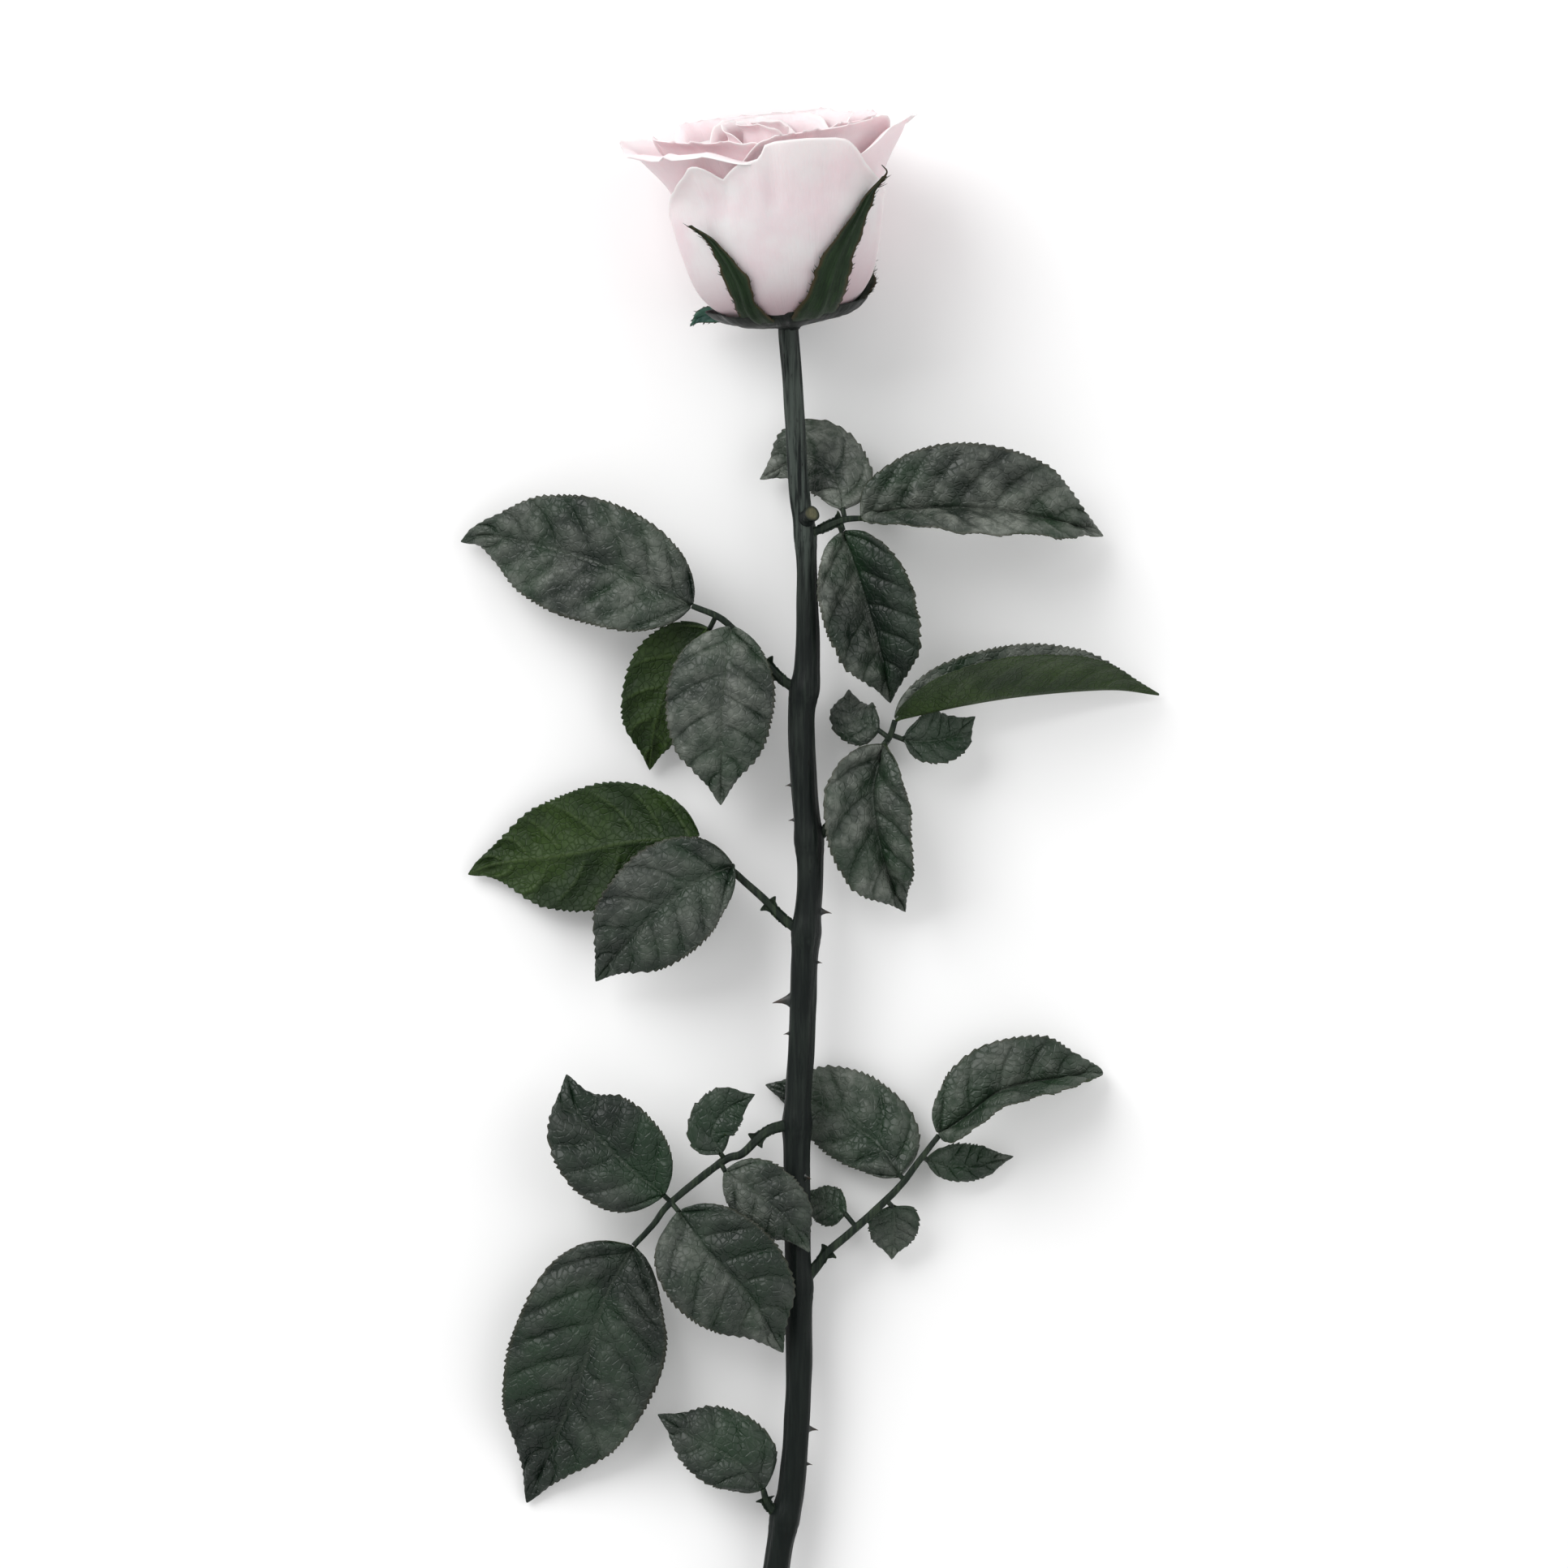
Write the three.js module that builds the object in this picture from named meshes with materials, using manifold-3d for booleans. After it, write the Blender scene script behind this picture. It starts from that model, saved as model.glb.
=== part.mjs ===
// A cut rose, lying on its side as it would on a table: one bloom on a thorny stem with seven leaves.
// Every piece is modelled from one reference point, the neck, where the stem meets the bloom.
// +Y runs from the neck up through the bloom, -Y down the stem, +X across, and +Z up off the table.
// All lengths are in millimetres and all angles in degrees.
import * as THREE from "three";
import Module from "manifold-3d";

// ---------------------------------------------------------------- driving dimensions
const stemLength = 352; // neck to the slanting cut
const stemRadius = 2.9; // below the upper leaves; the neck is slimmer
const bloomRadius = 24.5; // widest part of the cup, under the flared lip
const bloomHeight = 44.5; // neck to the lip of the outer petals
const petalThickness = 0.35;
const petalCount = 23;
const layerShare = 0.0425; // each petal's cup is this share of the bloom's radius inside the one before
const layerLift = 0.44; // and starts this much higher on the receptacle
const leafScale = 1; // size of every leaf about its own stalk foot
const bladeThickness = 0.6;
const rachisRadius = 0.85; // the common stalk that carries the leaflets
const sepalThickness = 0.6;
const clearance = 0.35; // gap between pieces that touch
const neckHeight = 20.4; // of the neck above the table; the bloom's own radius holds it up
const cutHeight = 4.4; // of the stem's centre at the cut

const wasm = await Module();
wasm.setup();

// ---------------------------------------------------------------- small helpers
const vec = (x, y, z = 0) => new THREE.Vector3(x, y, z);
const rad = (degrees) => (degrees * Math.PI) / 180;
const lerp = (a, b, t) => a + (b - a) * t;
const clamp01 = (t) => Math.min(1, Math.max(0, t));
const smooth = (t) => clamp01(t) ** 2 * (3 - 2 * clamp01(t));
const spline = (points) => new THREE.CatmullRomCurve3(points, false, "catmullrom", 0.5);

// Closed solid through a row of rings that all have the same even number of points. Each end is closed
// straight across, from every point of the ring's first half to its partner in the second.
function loft(rings) {
  const count = rings[0].length;
  const positions = rings.flat().flatMap((p) => [p.x, p.y, p.z]);
  const faces = [];
  for (let i = 0; i + 1 < rings.length; i++)
    for (let j = 0; j < count; j++) {
      const a = i * count + j;
      const b = i * count + ((j + 1) % count);
      faces.push(a, b, a + count, b, b + count, a + count);
    }
  for (const [ring, turned] of [[0, true], [rings.length - 1, false]])
    for (let j = 0; j + 1 < count / 2; j++) {
      const a = ring * count + j;
      const d = ring * count + count - 1 - j;
      faces.push(...(turned ? [a + 1, a, d, a + 1, d, d - 1] : [a, a + 1, d, a + 1, d - 1, d]));
    }
  return outwards(positions, faces);
}

// Geometry of the points and faces, turned round if its volume comes out negative.
function outwards(positions, faces) {
  let volume = 0;
  const at = (i) => vec(positions[3 * i], positions[3 * i + 1], positions[3 * i + 2]);
  for (let i = 0; i < faces.length; i += 3)
    volume += at(faces[i]).dot(at(faces[i + 1]).cross(at(faces[i + 2])));
  if (volume < 0) faces.reverse();
  const geometry = new THREE.BufferGeometry();
  geometry.setAttribute("position", new THREE.Float32BufferAttribute(positions, 3));
  geometry.setIndex(faces);
  return geometry;
}

function toSolid(geometry) {
  return new wasm.Manifold(
    new wasm.Mesh({
      numProp: 3,
      vertProperties: new Float32Array(geometry.attributes.position.array),
      triVerts: new Uint32Array(geometry.index.array),
    }),
  );
}

function toGeometry(solid) {
  const mesh = solid.getMesh();
  const geometry = new THREE.BufferGeometry();
  geometry.setAttribute("position", new THREE.BufferAttribute(mesh.vertProperties, 3));
  geometry.setIndex(new THREE.BufferAttribute(mesh.triVerts, 1));
  return geometry;
}

// Directions across a line of travel: side lies flat, to the left, and rise is square to both.
function across(tangent) {
  const side = vec(0, 0, 1).cross(tangent).normalize();
  return { side, rise: tangent.clone().cross(side).normalize() };
}

// Tube along a curve. size(t) gives its half-widths across and up, and ends may be slanted.
function tube(curve, size, steps, sides, endSlant = 0) {
  const rings = [];
  for (let i = 0; i <= steps; i++) {
    const t = i / steps;
    const centre = curve.getPointAt(t);
    const tangent = curve.getTangentAt(t);
    const { side, rise } = across(tangent);
    const [wide, high] = size(t);
    const slant = i === steps ? endSlant : 0;
    rings.push(
      Array.from({ length: sides }, (_, j) => {
        const turn = (2 * Math.PI * j) / sides;
        return centre
          .clone()
          .addScaledVector(side, wide * Math.cos(turn))
          .addScaledVector(rise, high * Math.sin(turn))
          .addScaledVector(tangent, slant * Math.cos(turn));
      }),
    );
  }
  return loft(rings);
}

// ---------------------------------------------------------------- stem
// Sideways sway of the stem at shares of its length below the neck.
const sway = [
  [0.008, -0.1], [0.04, 0.8], [0.105, 2.2], [0.135, 3.6], [0.185, 4.1], [0.22, 3.9], [0.247, 2.7], [0.285, 3.1],
  [0.327, 4.4], [0.355, 4.7], [0.385, 3.8], [0.425, 3.2], [0.46, 2.7], [0.513, 1.8], [0.61, 2.2], [0.665, 2.3],
  [0.706, 1.6], [0.739, 0.6], [0.757, -0.9], [0.783, -2.5], [0.82, -4.2], [0.88, -4.4], [0.94, -3.6], [1, -3.4],
];
const stemHeight = (share) => lerp(neckHeight, cutHeight, share);
const stemCurve = spline(sway.map(([share, x]) => vec(x, -share * stemLength, stemHeight(share))));

// Centre of the stem at a share of its length.
function stemPoint(share) {
  const next = Math.max(1, sway.findIndex(([s]) => s >= share));
  const [s0, x0] = sway[next - 1];
  const [s1, x1] = sway[next];
  return vec(lerp(x0, x1, (share - s0) / (s1 - s0)), -share * stemLength, stemHeight(share));
}

const stemKnots = [0.135, 0.232, 0.327, 0.385, 0.506, 0.61, 0.757]; // where a leaf leaves the stem
const knotSwelling = 0.16; // extra radius at a knot
const knotReach = 0.009; // how far along the stem it spreads
function stemSize(share) {
  const slimming = lerp(0.74, 1, smooth((share - 0.12) / 0.14));
  const thickening = 1 + 0.12 * smooth((share - 0.7) / 0.3);
  const swelling = stemKnots.reduce((sum, k) => sum + Math.exp(-(((share - k) / knotReach) ** 2)), 0);
  return stemRadius * slimming * thickening * (1 + knotSwelling * swelling);
}

// Prickles: share down the stem, turn about it (0 = up off the table, 90 = +X) and length.
const prickles = [
  [0.292, -80, 1.6], [0.314, -85, 1.5], [0.372, 88, 2.7], [0.404, 80, 1.4], [0.428, -88, 4.2],
  [0.449, -75, 1.6], [0.36, 150, 2.6], [0.475, 165, 3.2], [0.54, 40, 2.2], [0.7, 120, 3], [0.722, 85, 1.6],
  [0.84, -60, 3.2], [0.9, 100, 2.6],
];
const prickleSides = 6;
function prickle([share, turn, length]) {
  const root = stemPoint(share);
  const out = vec(Math.sin(rad(turn)), 0, Math.cos(rad(turn)));
  const rings = [];
  for (const [reach, spread, drop] of [[-0.35, 0.55, 0], [0, 0.5, 0], [0.35, 0.24, 0.02], [1, 0.025, 0.16]]) {
    const distance = stemSize(share) * 0.9 + reach * length;
    const centre = root.clone().addScaledVector(out, distance).add(vec(0, -drop * length));
    rings.push(
      Array.from({ length: prickleSides }, (_, j) => {
        const angle = (2 * Math.PI * j) / prickleSides;
        const flat = vec(out.z, 0, -out.x).multiplyScalar(0.45 * spread * length * Math.cos(angle));
        return centre.clone().add(flat).add(vec(0, spread * length * Math.sin(angle)));
      }),
    );
  }
  return loft(rings);
}

// Stub of a side shoot that was cut away, just above the first leaf.
function prunedShoot() {
  const root = stemPoint(0.127);
  const radius = 1.7;
  const path = spline([root, root.clone().add(vec(1.1, 1.3, 2.4)), root.clone().add(vec(1.9, 2, 4.3))]);
  return tube(path, () => [radius, radius], 3, 10);
}

function stemSolid() {
  const steps = 56;
  const cutSlant = -3.2;
  const shareAt = (t) => -stemCurve.getPointAt(t).y / stemLength;
  const bark = tube(stemCurve, (t) => [stemSize(shareAt(t)), stemSize(shareAt(t))], steps, 10, cutSlant);
  return [prunedShoot(), ...prickles.map(prickle)].reduce((all, extra) => all.add(toSolid(extra)), toSolid(bark));
}

// Stem with extra radius all round, to cut a clearance in what grows against it.
function stemShadow() {
  const grown = (t) => stemSize(-stemCurve.getPointAt(t).y / stemLength) + clearance;
  return toSolid(tube(stemCurve, (t) => [grown(t), grown(t)], 56, 10));
}

// ---------------------------------------------------------------- bloom
// The bloom leans a little to the left of the stem and tips its lip up off the table.
const bloomLean = 6;
const bloomTip = 10;
const axis = vec(-Math.sin(rad(bloomLean)), Math.cos(rad(bloomLean))).multiplyScalar(Math.cos(rad(bloomTip)));
axis.z = Math.sin(rad(bloomTip));
const acrossBloom = vec(Math.cos(rad(bloomLean)), Math.sin(rad(bloomLean)));
const upBloom = acrossBloom.clone().cross(axis);
const neck = vec(0, 0, neckHeight);

// Point of the bloom: radius and height about its axis, turn 0 on its upper side and 90 towards +X.
const bloomPoint = (radius, height, turn) =>
  neck
    .clone()
    .addScaledVector(axis, height)
    .addScaledVector(upBloom, radius * Math.cos(rad(turn)))
    .addScaledVector(acrossBloom, radius * Math.sin(rad(turn)));

// Half-section of the outermost cup, as shares of the bloom's radius and height, claw to lip.
const cup = spline(
  [[0.25, 0.026], [0.49, 0.035], [0.69, 0.09], [0.83, 0.195], [0.93, 0.37], [0.995, 0.56], [1, 0.72], [0.99, 0.87],
    [0.98, 1]].map(([r, h]) => vec(r, h)),
);

// The lip flares most at the two sides, where nothing holds it in, and least against the table.
const lipStart = 0.6;
const flare = (turn) => 0.285 - 0.205 * Math.cos(rad(2 * turn)) - 0.07 * Math.sin(rad(turn));
const lumps = (turn) => 1 + 0.018 * Math.sin(rad(2 * turn + 50)) + 0.015 * Math.sin(rad(3 * turn + 120));

// Point on the cup of one layer, with its surface normal in the half-section. Layer -1 is the sepals'.
function layerPoint(layer, along, turn, offset) {
  const at = cup.getPointAt(clamp01(along));
  const tangent = cup.getTangentAt(clamp01(along));
  const shrink = 1 - layerShare * layer;
  const normal = vec(tangent.y * bloomHeight, -tangent.x * bloomRadius * shrink).normalize();
  const height = at.y * bloomHeight + layerLift * layer * (1 - 0.85 * at.y) + normal.y * offset;
  const inner = at.x * bloomRadius * shrink + normal.x * offset;
  const openness = smooth((height / bloomHeight - lipStart) / (1 - lipStart)) ** 1.4;
  const flared = inner + flare(turn) * openness * (inner / bloomRadius) ** 3 * bloomRadius;
  return bloomPoint(flared * lumps(turn), height, turn);
}

// Sheet that follows one layer of the cup: half-width, in degrees, and reach are functions of the place.
function cupSheet({ layer, middle, spread, reach, thickness, rows, columns, start = 0 }) {
  const rings = [];
  for (let i = 0; i <= rows; i++) {
    const share = i / rows;
    const ring = [];
    for (const face of [0.5, -0.5])
      for (let j = 0; j <= columns; j++) {
        const u = (face > 0 ? 1 : -1) * ((2 * j) / columns - 1);
        const along = lerp(start, reach(u), share);
        ring.push(layerPoint(layer, along, middle(along) + u * spread(along, share), face * thickness));
      }
    rings.push(ring);
  }
  return loft(rings);
}

// Value at t of a row of evenly spaced values, from t = 0 to 1.
function between(values, t) {
  const at = clamp01(t) * (values.length - 1);
  const low = Math.min(Math.floor(at), values.length - 2);
  return lerp(values[low], values[low + 1], at - low);
}

// The outer petals are set one by one; reach is how far up the cup the lip stands, from side to side.
const outerPetals = [
  { turn: -6, spread: 65, reach: [0.74, 0.87, 0.85, 0.93, 0.99, 0.99, 0.84] },
  { turn: 112, spread: 70, reach: [0.88, 0.98, 0.99, 0.98, 0.96, 0.93, 0.84] },
  { turn: -88, spread: 78, reach: [0.85, 0.94, 0.98, 0.99, 0.98, 0.96, 0.9] },
  { turn: 176, spread: 64, reach: [0.82, 0.92, 0.96, 0.96, 0.95, 0.92, 0.83] },
  { turn: 38, spread: 62, reach: [0.86, 0.95, 0.97, 0.98, 0.98, 0.95, 0.87] },
  { turn: -52, spread: 60, reach: [0.86, 0.94, 0.97, 0.97, 0.96, 0.94, 0.86] },
];

// Further in they stand a golden angle apart, each inside the one before and wrapped further round. One in
// three reaches the full height and shows its lip; the other two fill the space between.
const goldenAngle = 137.5;
const clawSpread = 24;
function petal(index) {
  const depth = index / (petalCount - 1);
  const height = lerp(0.99, 0.9, smooth((depth - 0.3) / 0.7)) * [1, 0.95, 0.92][index % 3];
  const { turn, spread, reach } = outerPetals[index] ?? {
    turn: -60 + goldenAngle * (index - outerPetals.length + 1),
    spread: lerp(58, 150, depth ** 2),
    reach: [0.95, 0.99, 1, 1, 1, 0.99, 0.95].map((share) => share * height),
  };
  return cupSheet({
    layer: index,
    middle: () => turn,
    spread: (along) => lerp(clawSpread, spread, smooth((along - 0.04) / 0.45)),
    reach: (u) => between(reach, (u + 1) / 2),
    thickness: petalThickness,
    rows: 8,
    columns: 6,
  });
}

// Receptacle: the hip, the collar it spreads into under the cup, and the dome inside that carries the claws.
const collarReach = 0.24; // how far along the cup the collar follows it
const collarThickness = 0.5;
function receptacle() {
  const claw = bloomRadius * 0.25;
  const low = bloomHeight * 0.026;
  const domeTop = low + layerLift * (petalCount - 1) - clearance;
  const underCup = (share, depth) => {
    const at = cup.getPointAt(collarReach * share);
    return [at.x * bloomRadius, at.y * bloomHeight - petalThickness / 2 - clearance - depth];
  };
  const outline = [
    [0, -1.9], [2.2, -1.9], [3.5, -1.35], ...[0.35, 0.7, 1].map((share) => underCup(share, collarThickness)),
    ...[1, 0.7, 0.35].map((share) => underCup(share, 0)),
    [claw * 0.9, low - 0.65], [claw * 0.84, low - 0.45], [claw * 0.48, lerp(low, domeTop, 0.42)], [0, domeTop - 0.7],
  ];
  return placeOnBloom(new THREE.LatheGeometry(outline.map(([r, h]) => new THREE.Vector2(r, h)), 20));
}

// A lathe turns about its own Y; this stands it on the bloom's axis.
function placeOnBloom(geometry) {
  const frame = new THREE.Matrix4().makeBasis(acrossBloom, axis, upBloom).setPosition(neck);
  return geometry.applyMatrix4(frame);
}

// Sepals hug the cup from outside, from the collar to their points. The turn drifts from foot to point, and a
// larger drift keeps it for the last stretch.
const sepals = [
  { name: "sepal_upper_left", foot: -26, point: -46, drift: 5, reach: 0.71, width: 0.6 },
  { name: "sepal_upper_right", foot: 22, point: 60, drift: 2.6, reach: 0.8, width: 0.9 },
  { name: "sepal_right", foot: 98, point: 122, drift: 1.5, reach: 0.46, width: 0.8 },
  { name: "sepal_under", foot: 172, point: 166, drift: 1.5, reach: 0.6, width: 0.85 },
];
const sepalLayer = -1.5; // counted outwards from the first petal's layer
const sepalStart = collarReach + 0.035; // clears the edge of the collar
const sepalHalfWidths = [6.4, 5.9, 5.2, 4.9, 4.7, 3.6, 2.2, 0.35]; // evenly spaced, foot to point
function sepal({ foot, point, drift, reach, width }) {
  return cupSheet({
    layer: sepalLayer,
    middle: (along) => lerp(foot, point, clamp01((along - sepalStart) / (reach - sepalStart)) ** drift),
    spread: (along, share) => {
      const radius = cup.getPointAt(along).x * bloomRadius;
      return THREE.MathUtils.radToDeg((width * between(sepalHalfWidths, share)) / radius);
    },
    reach: () => reach,
    thickness: sepalThickness,
    rows: 7,
    columns: 2,
    start: sepalStart,
  });
}

// One sepal has bent back off the bloom: a small blade on its own rib, measured from the collar's left edge.
const collarEdge = neck.clone().addScaledVector(vec(-0.873, 0, -0.488), cup.getPointAt(collarReach).x * bloomRadius);
const bentSepal = {
  rib: [[-0.77, 1, -0.43], [-3.77, 1.9, -1.63], [-6.77, 1.5, -2.23], [-9.17, -0.6, -2.63]],
  halfWidth: [1.9, 1.9],
  left: [10, 30],
  right: [170, 150],
};

// ---------------------------------------------------------------- leaves
// Half-width of a blade along its rib, as a share of the widest: round at the foot, pointed at the tip.
const bladeShape = (t, foot, tip) => {
  const widest = foot / (foot + tip);
  return (t / widest) ** foot * ((1 - t) / (1 - widest)) ** tip;
};
const bladeStations = [0.006, 0.06, 0.18, 0.34, 0.52, 0.7, 0.87, 0.985];

// Blade on a rib. left and right give the way each half leans at foot and tip: 0 lies flat to the left of
// the rib's run, 90 stands up off the table and 180 lies flat to the right. curl bends each half upwards.
function blade({ rib, halfWidth, left, right, curl = [0, 0], foot = 0.55, tip = 0.8 }, thickness, place) {
  const curve = spline(rib.map(place));
  const rings = bladeStations.map((t) => {
    const centre = curve.getPointAt(t);
    const { side, rise } = across(curve.getTangentAt(t));
    const shape = Math.max(0.03, bladeShape(t, foot, tip));
    const heading = (angle) =>
      side.clone().multiplyScalar(Math.cos(rad(angle))).addScaledVector(rise, Math.sin(rad(angle)));
    const point = (half, reach, face) => {
      const [lean, bend] = half
        ? [lerp(right[0], right[1], t), -curl[1] * reach]
        : [lerp(left[0], left[1], t), curl[0] * reach];
      const upper = heading(lean + bend + (half ? -90 : 90));
      return centre
        .clone()
        .addScaledVector(heading(lean + bend / 2), reach * shape * halfWidth[half] * leafScale)
        .addScaledVector(upper, (face * thickness) / 2);
    };
    const ribUp = heading((lerp(left[0], left[1], t) + 90 + lerp(right[0], right[1], t) - 90) / 2);
    const flip = ribUp.dot(heading(lerp(left[0], left[1], t) + 90)) < 0 ? -1 : 1;
    const middle = (face) => centre.clone().addScaledVector(ribUp, (flip * face * thickness) / 2);
    return [
      point(0, 1, 1), point(0, 0.5, 1), middle(1), point(1, 0.5, 1), point(1, 1, 1),
      point(1, 1, -1), point(1, 0.5, -1), middle(-1), point(0, 0.5, -1), point(0, 1, -1),
    ];
  });
  return loft(rings);
}

// Leaves. Every point is measured from the middle of the stem at the leaf's knot. The stalk runs through
// path and ends at the foot of the first leaflet; the others hang on short stalks of their own.
const leaves = [
  {
    name: "leaf_1",
    knot: 0.135,
    path: [[3.5, 1.5, 1], [8.5, 3.5, 1.5]],
    leaflets: {
      end: {
        rib: [[12.6, 3.9, 1.2], [19.5, 5.3, 2], [37.5, 5.7, 1], [55.5, 3.5, -6], [66.6, 0.3, -13]],
        halfWidth: [15, 12],
        left: [8, 14],
        right: [103, 118],
      },
      back: {
        rib: [[8.3, 6.2, 0.2], [7, 12.5, -4], [0.5, 18, -8], [-10, 13, -13]],
        halfWidth: [6.5, 9],
        left: [0, 0],
        right: [180, 180],
      },
      front: {
        rib: [[8.2, 0.8, 0.6], [10.5, -5.5, 0], [15, -20, -2], [17.5, -29, -4], [19, -37, -8]],
        halfWidth: [13, 13],
        left: [40, 35],
        right: [140, 145],
      },
    },
  },
  {
    name: "leaf_2",
    knot: 0.232,
    path: [[-4.5, 2, 0], [-11, 8.5, 1], [-18, 15.5, 1.5]],
    leaflets: {
      end: {
        rib: [[-25, 18.7, 1.2], [-41.6, 26.6, 0], [-56, 31.5, -5], [-70.4, 34.7, -10.5], [-76.7, 33.3, -14]],
        halfWidth: [14, 13.5],
        left: [12, 8],
        right: [165, 172],
      },
      front: {
        rib: [[-16.2, 13.8, 3], [-17.5, 4, 5.5], [-18.5, -8, 4.5], [-18.5, -25.6, -1]],
        halfWidth: [11.5, 12.5],
        left: [0, 10],
        right: [180, 170],
      },
      back: {
        rib: [[-21, 13.5, -1.8], [-28.5, 5, -4.5], [-33, -7, -8.5], [-34.5, -17.8, -14.5]],
        halfWidth: [9.5, 9.5],
        left: [182, 180],
        right: [358, 360],
      },
    },
  },
  {
    name: "leaf_3",
    knot: 0.327,
    path: [[4.5, 3, -0.5], [11, 13, -1.5], [16, 20, -1], [18.2, 23.4, 0]],
    leaflets: {
      end: {
        rib: [[19.2, 26.7, 0.9], [34, 30, -0.5], [49, 32.3, -3.5], [67, 33.6, -8.5], [78.5, 32.5, -13.5]],
        halfWidth: [14, 14],
        left: [36, 30],
        right: [52, 46],
      },
      left: {
        rib: [[15.4, 24.6, -1.5], [12, 26, -4], [9.5, 28.5, -7], [9, 33.5, -11]],
        halfWidth: [5.5, 5],
        left: [0, 0],
        right: [180, 180],
      },
      right: {
        rib: [[21.1, 22.4, -0.8], [25.5, 22, -3], [31.5, 23, -6], [37.2, 27.5, -9]],
        halfWidth: [6.5, 5.5],
        left: [10, 10],
        right: [160, 160],
      },
      front: {
        rib: [[16.8, 21.2, 2.4], [14.5, 13, 2.7], [14.5, 6, 2], [17.2, -6.2, -3], [21.6, -16, -10]],
        halfWidth: [10, 12.5],
        left: [50, 40],
        right: [150, 145],
      },
    },
  },
  {
    name: "leaf_4",
    knot: 0.385,
    path: [[-4.5, 2.5, 0], [-9.5, 7.5, 0.5], [-14, 11.5, 1]],
    leaflets: {
      end: {
        rib: [[-24, 20.7, -1.5], [-38.4, 20.1, -4], [-52.8, 17.2, -7], [-69, 15.1, -10.5], [-75.6, 12.7, -12.5]],
        halfWidth: [14, 13.5],
        left: [184, 182],
        right: [356, 358],
      },
      front: {
        rib: [[-16.3, 14.8, 4], [-25.8, 10.6, 5], [-34.8, 3, 3.5], [-42.8, -5.6, -0.5], [-46.8, -11, -4]],
        halfWidth: [12, 12.5],
        left: [12, 12],
        right: [168, 165],
      },
    },
  },
  {
    name: "leaf_5",
    knot: 0.506,
    path: [[-6.8, -1.7, 2], [-12.2, -6.6, 3], [-16.7, -8.4, 3], [-28, -17.4, 2], [-32, -22.4, 1.5]],
    leaflets: {
      end: {
        rib: [[-36.5, -27.3, 1], [-42.8, -38.6, 0.5], [-47.3, -53, -2], [-52.7, -67.4, -6.5], [-60.6, -85.4, -11.6]],
        halfWidth: [17, 17.5],
        left: [14, 10],
        right: [166, 170],
      },
      left: {
        rib: [[-29.8, -15.8, 3.2], [-39.2, -8, 4], [-48.2, 1.9, 3], [-51.4, 10.9, 1]],
        halfWidth: [12, 11.5],
        left: [8, 10],
        right: [165, 168],
      },
      right: {
        rib: [[-26.3, -19.6, 3.8], [-20.3, -27.8, 7], [-10.4, -38.6, 6], [-3.2, -50.9, 1.8]],
        halfWidth: [12.5, 13.5],
        left: [15, 10],
        right: [172, 175],
      },
      near_right: {
        rib: [[-16, -10.6, 5], [-9.5, -15, 6.5], [-2, -21.5, 6.3], [2.6, -28.4, 3.8]],
        halfWidth: [8, 7.5],
        left: [5, -10],
        right: [180, 190],
      },
      near_left: {
        rib: [[-17.2, -6.4, 4], [-18.9, -1.9, 4.5], [-15.9, 3.1, 4], [-9.5, 6.5, 2.5]],
        halfWidth: [6, 5],
        left: [8, 8],
        right: [172, 172],
      },
    },
  },
  {
    name: "leaf_6",
    knot: 0.61,
    path: [[4.3, 5.2, 0.5], [6.4, 7.9, 1], [12.7, 13.3, 1.5], [21.7, 21.7, 1.5], [27.1, 28.6, 1.5]],
    leaflets: {
      end: {
        rib: [[31.3, 34, 1.2], [37, 37.7, 1.5], [46, 43.9, -0.5], [60.4, 46.6, -5], [68, 47.5, -8.8]],
        halfWidth: [11, 10],
        left: [10, 15],
        right: [110, 104],
        foot: 0.4,
        tip: 0.5,
      },
      left: {
        rib: [[22.5, 24.9, -0.8], [18.3, 31.2, -2.5], [13.6, 34.9, -4], [2.8, 41.2, -6.5], [-7.4, 44.8, -9.2]],
        halfWidth: [8.5, 11.5],
        left: [0, 0],
        right: [180, 180],
      },
      right: {
        rib: [[28.8, 28.2, -0.5], [34, 27, -3], [40, 27, -5.5], [48, 28.8, -8]],
        halfWidth: [5, 3.5],
        left: [5, 5],
        right: [175, 175],
      },
      near_right: {
        rib: [[20.9, 17.9, -0.4], [21.4, 15, -2.2], [21, 10.5, -4], [20.8, 6, -6]],
        halfWidth: [5.5, 6],
        foot: 0.4,
        left: [5, 5],
        right: [175, 175],
      },
      near_left: {
        rib: [[10.3, 16.4, -1.2], [7.5, 17.5, -3], [5, 19, -5], [1.5, 21, -7]],
        halfWidth: [4.5, 4.5],
        left: [0, 0],
        right: [180, 180],
      },
    },
  },
  {
    name: "leaf_7",
    knot: 0.757,
    path: [[-3.6, 3, 1.2]],
    leaflets: {
      end: {
        rib: [[-4.9, 6.9, 2.6], [-10, 12.5, 4.4], [-17, 16.5, 4], [-28.3, 23.3, 1]],
        halfWidth: [7.5, 10],
        left: [0, 0],
        right: [180, 180],
      },
    },
  },
];

const onStem = (knot) => (p) => vec(...p).multiplyScalar(leafScale).add(stemPoint(knot));

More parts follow.
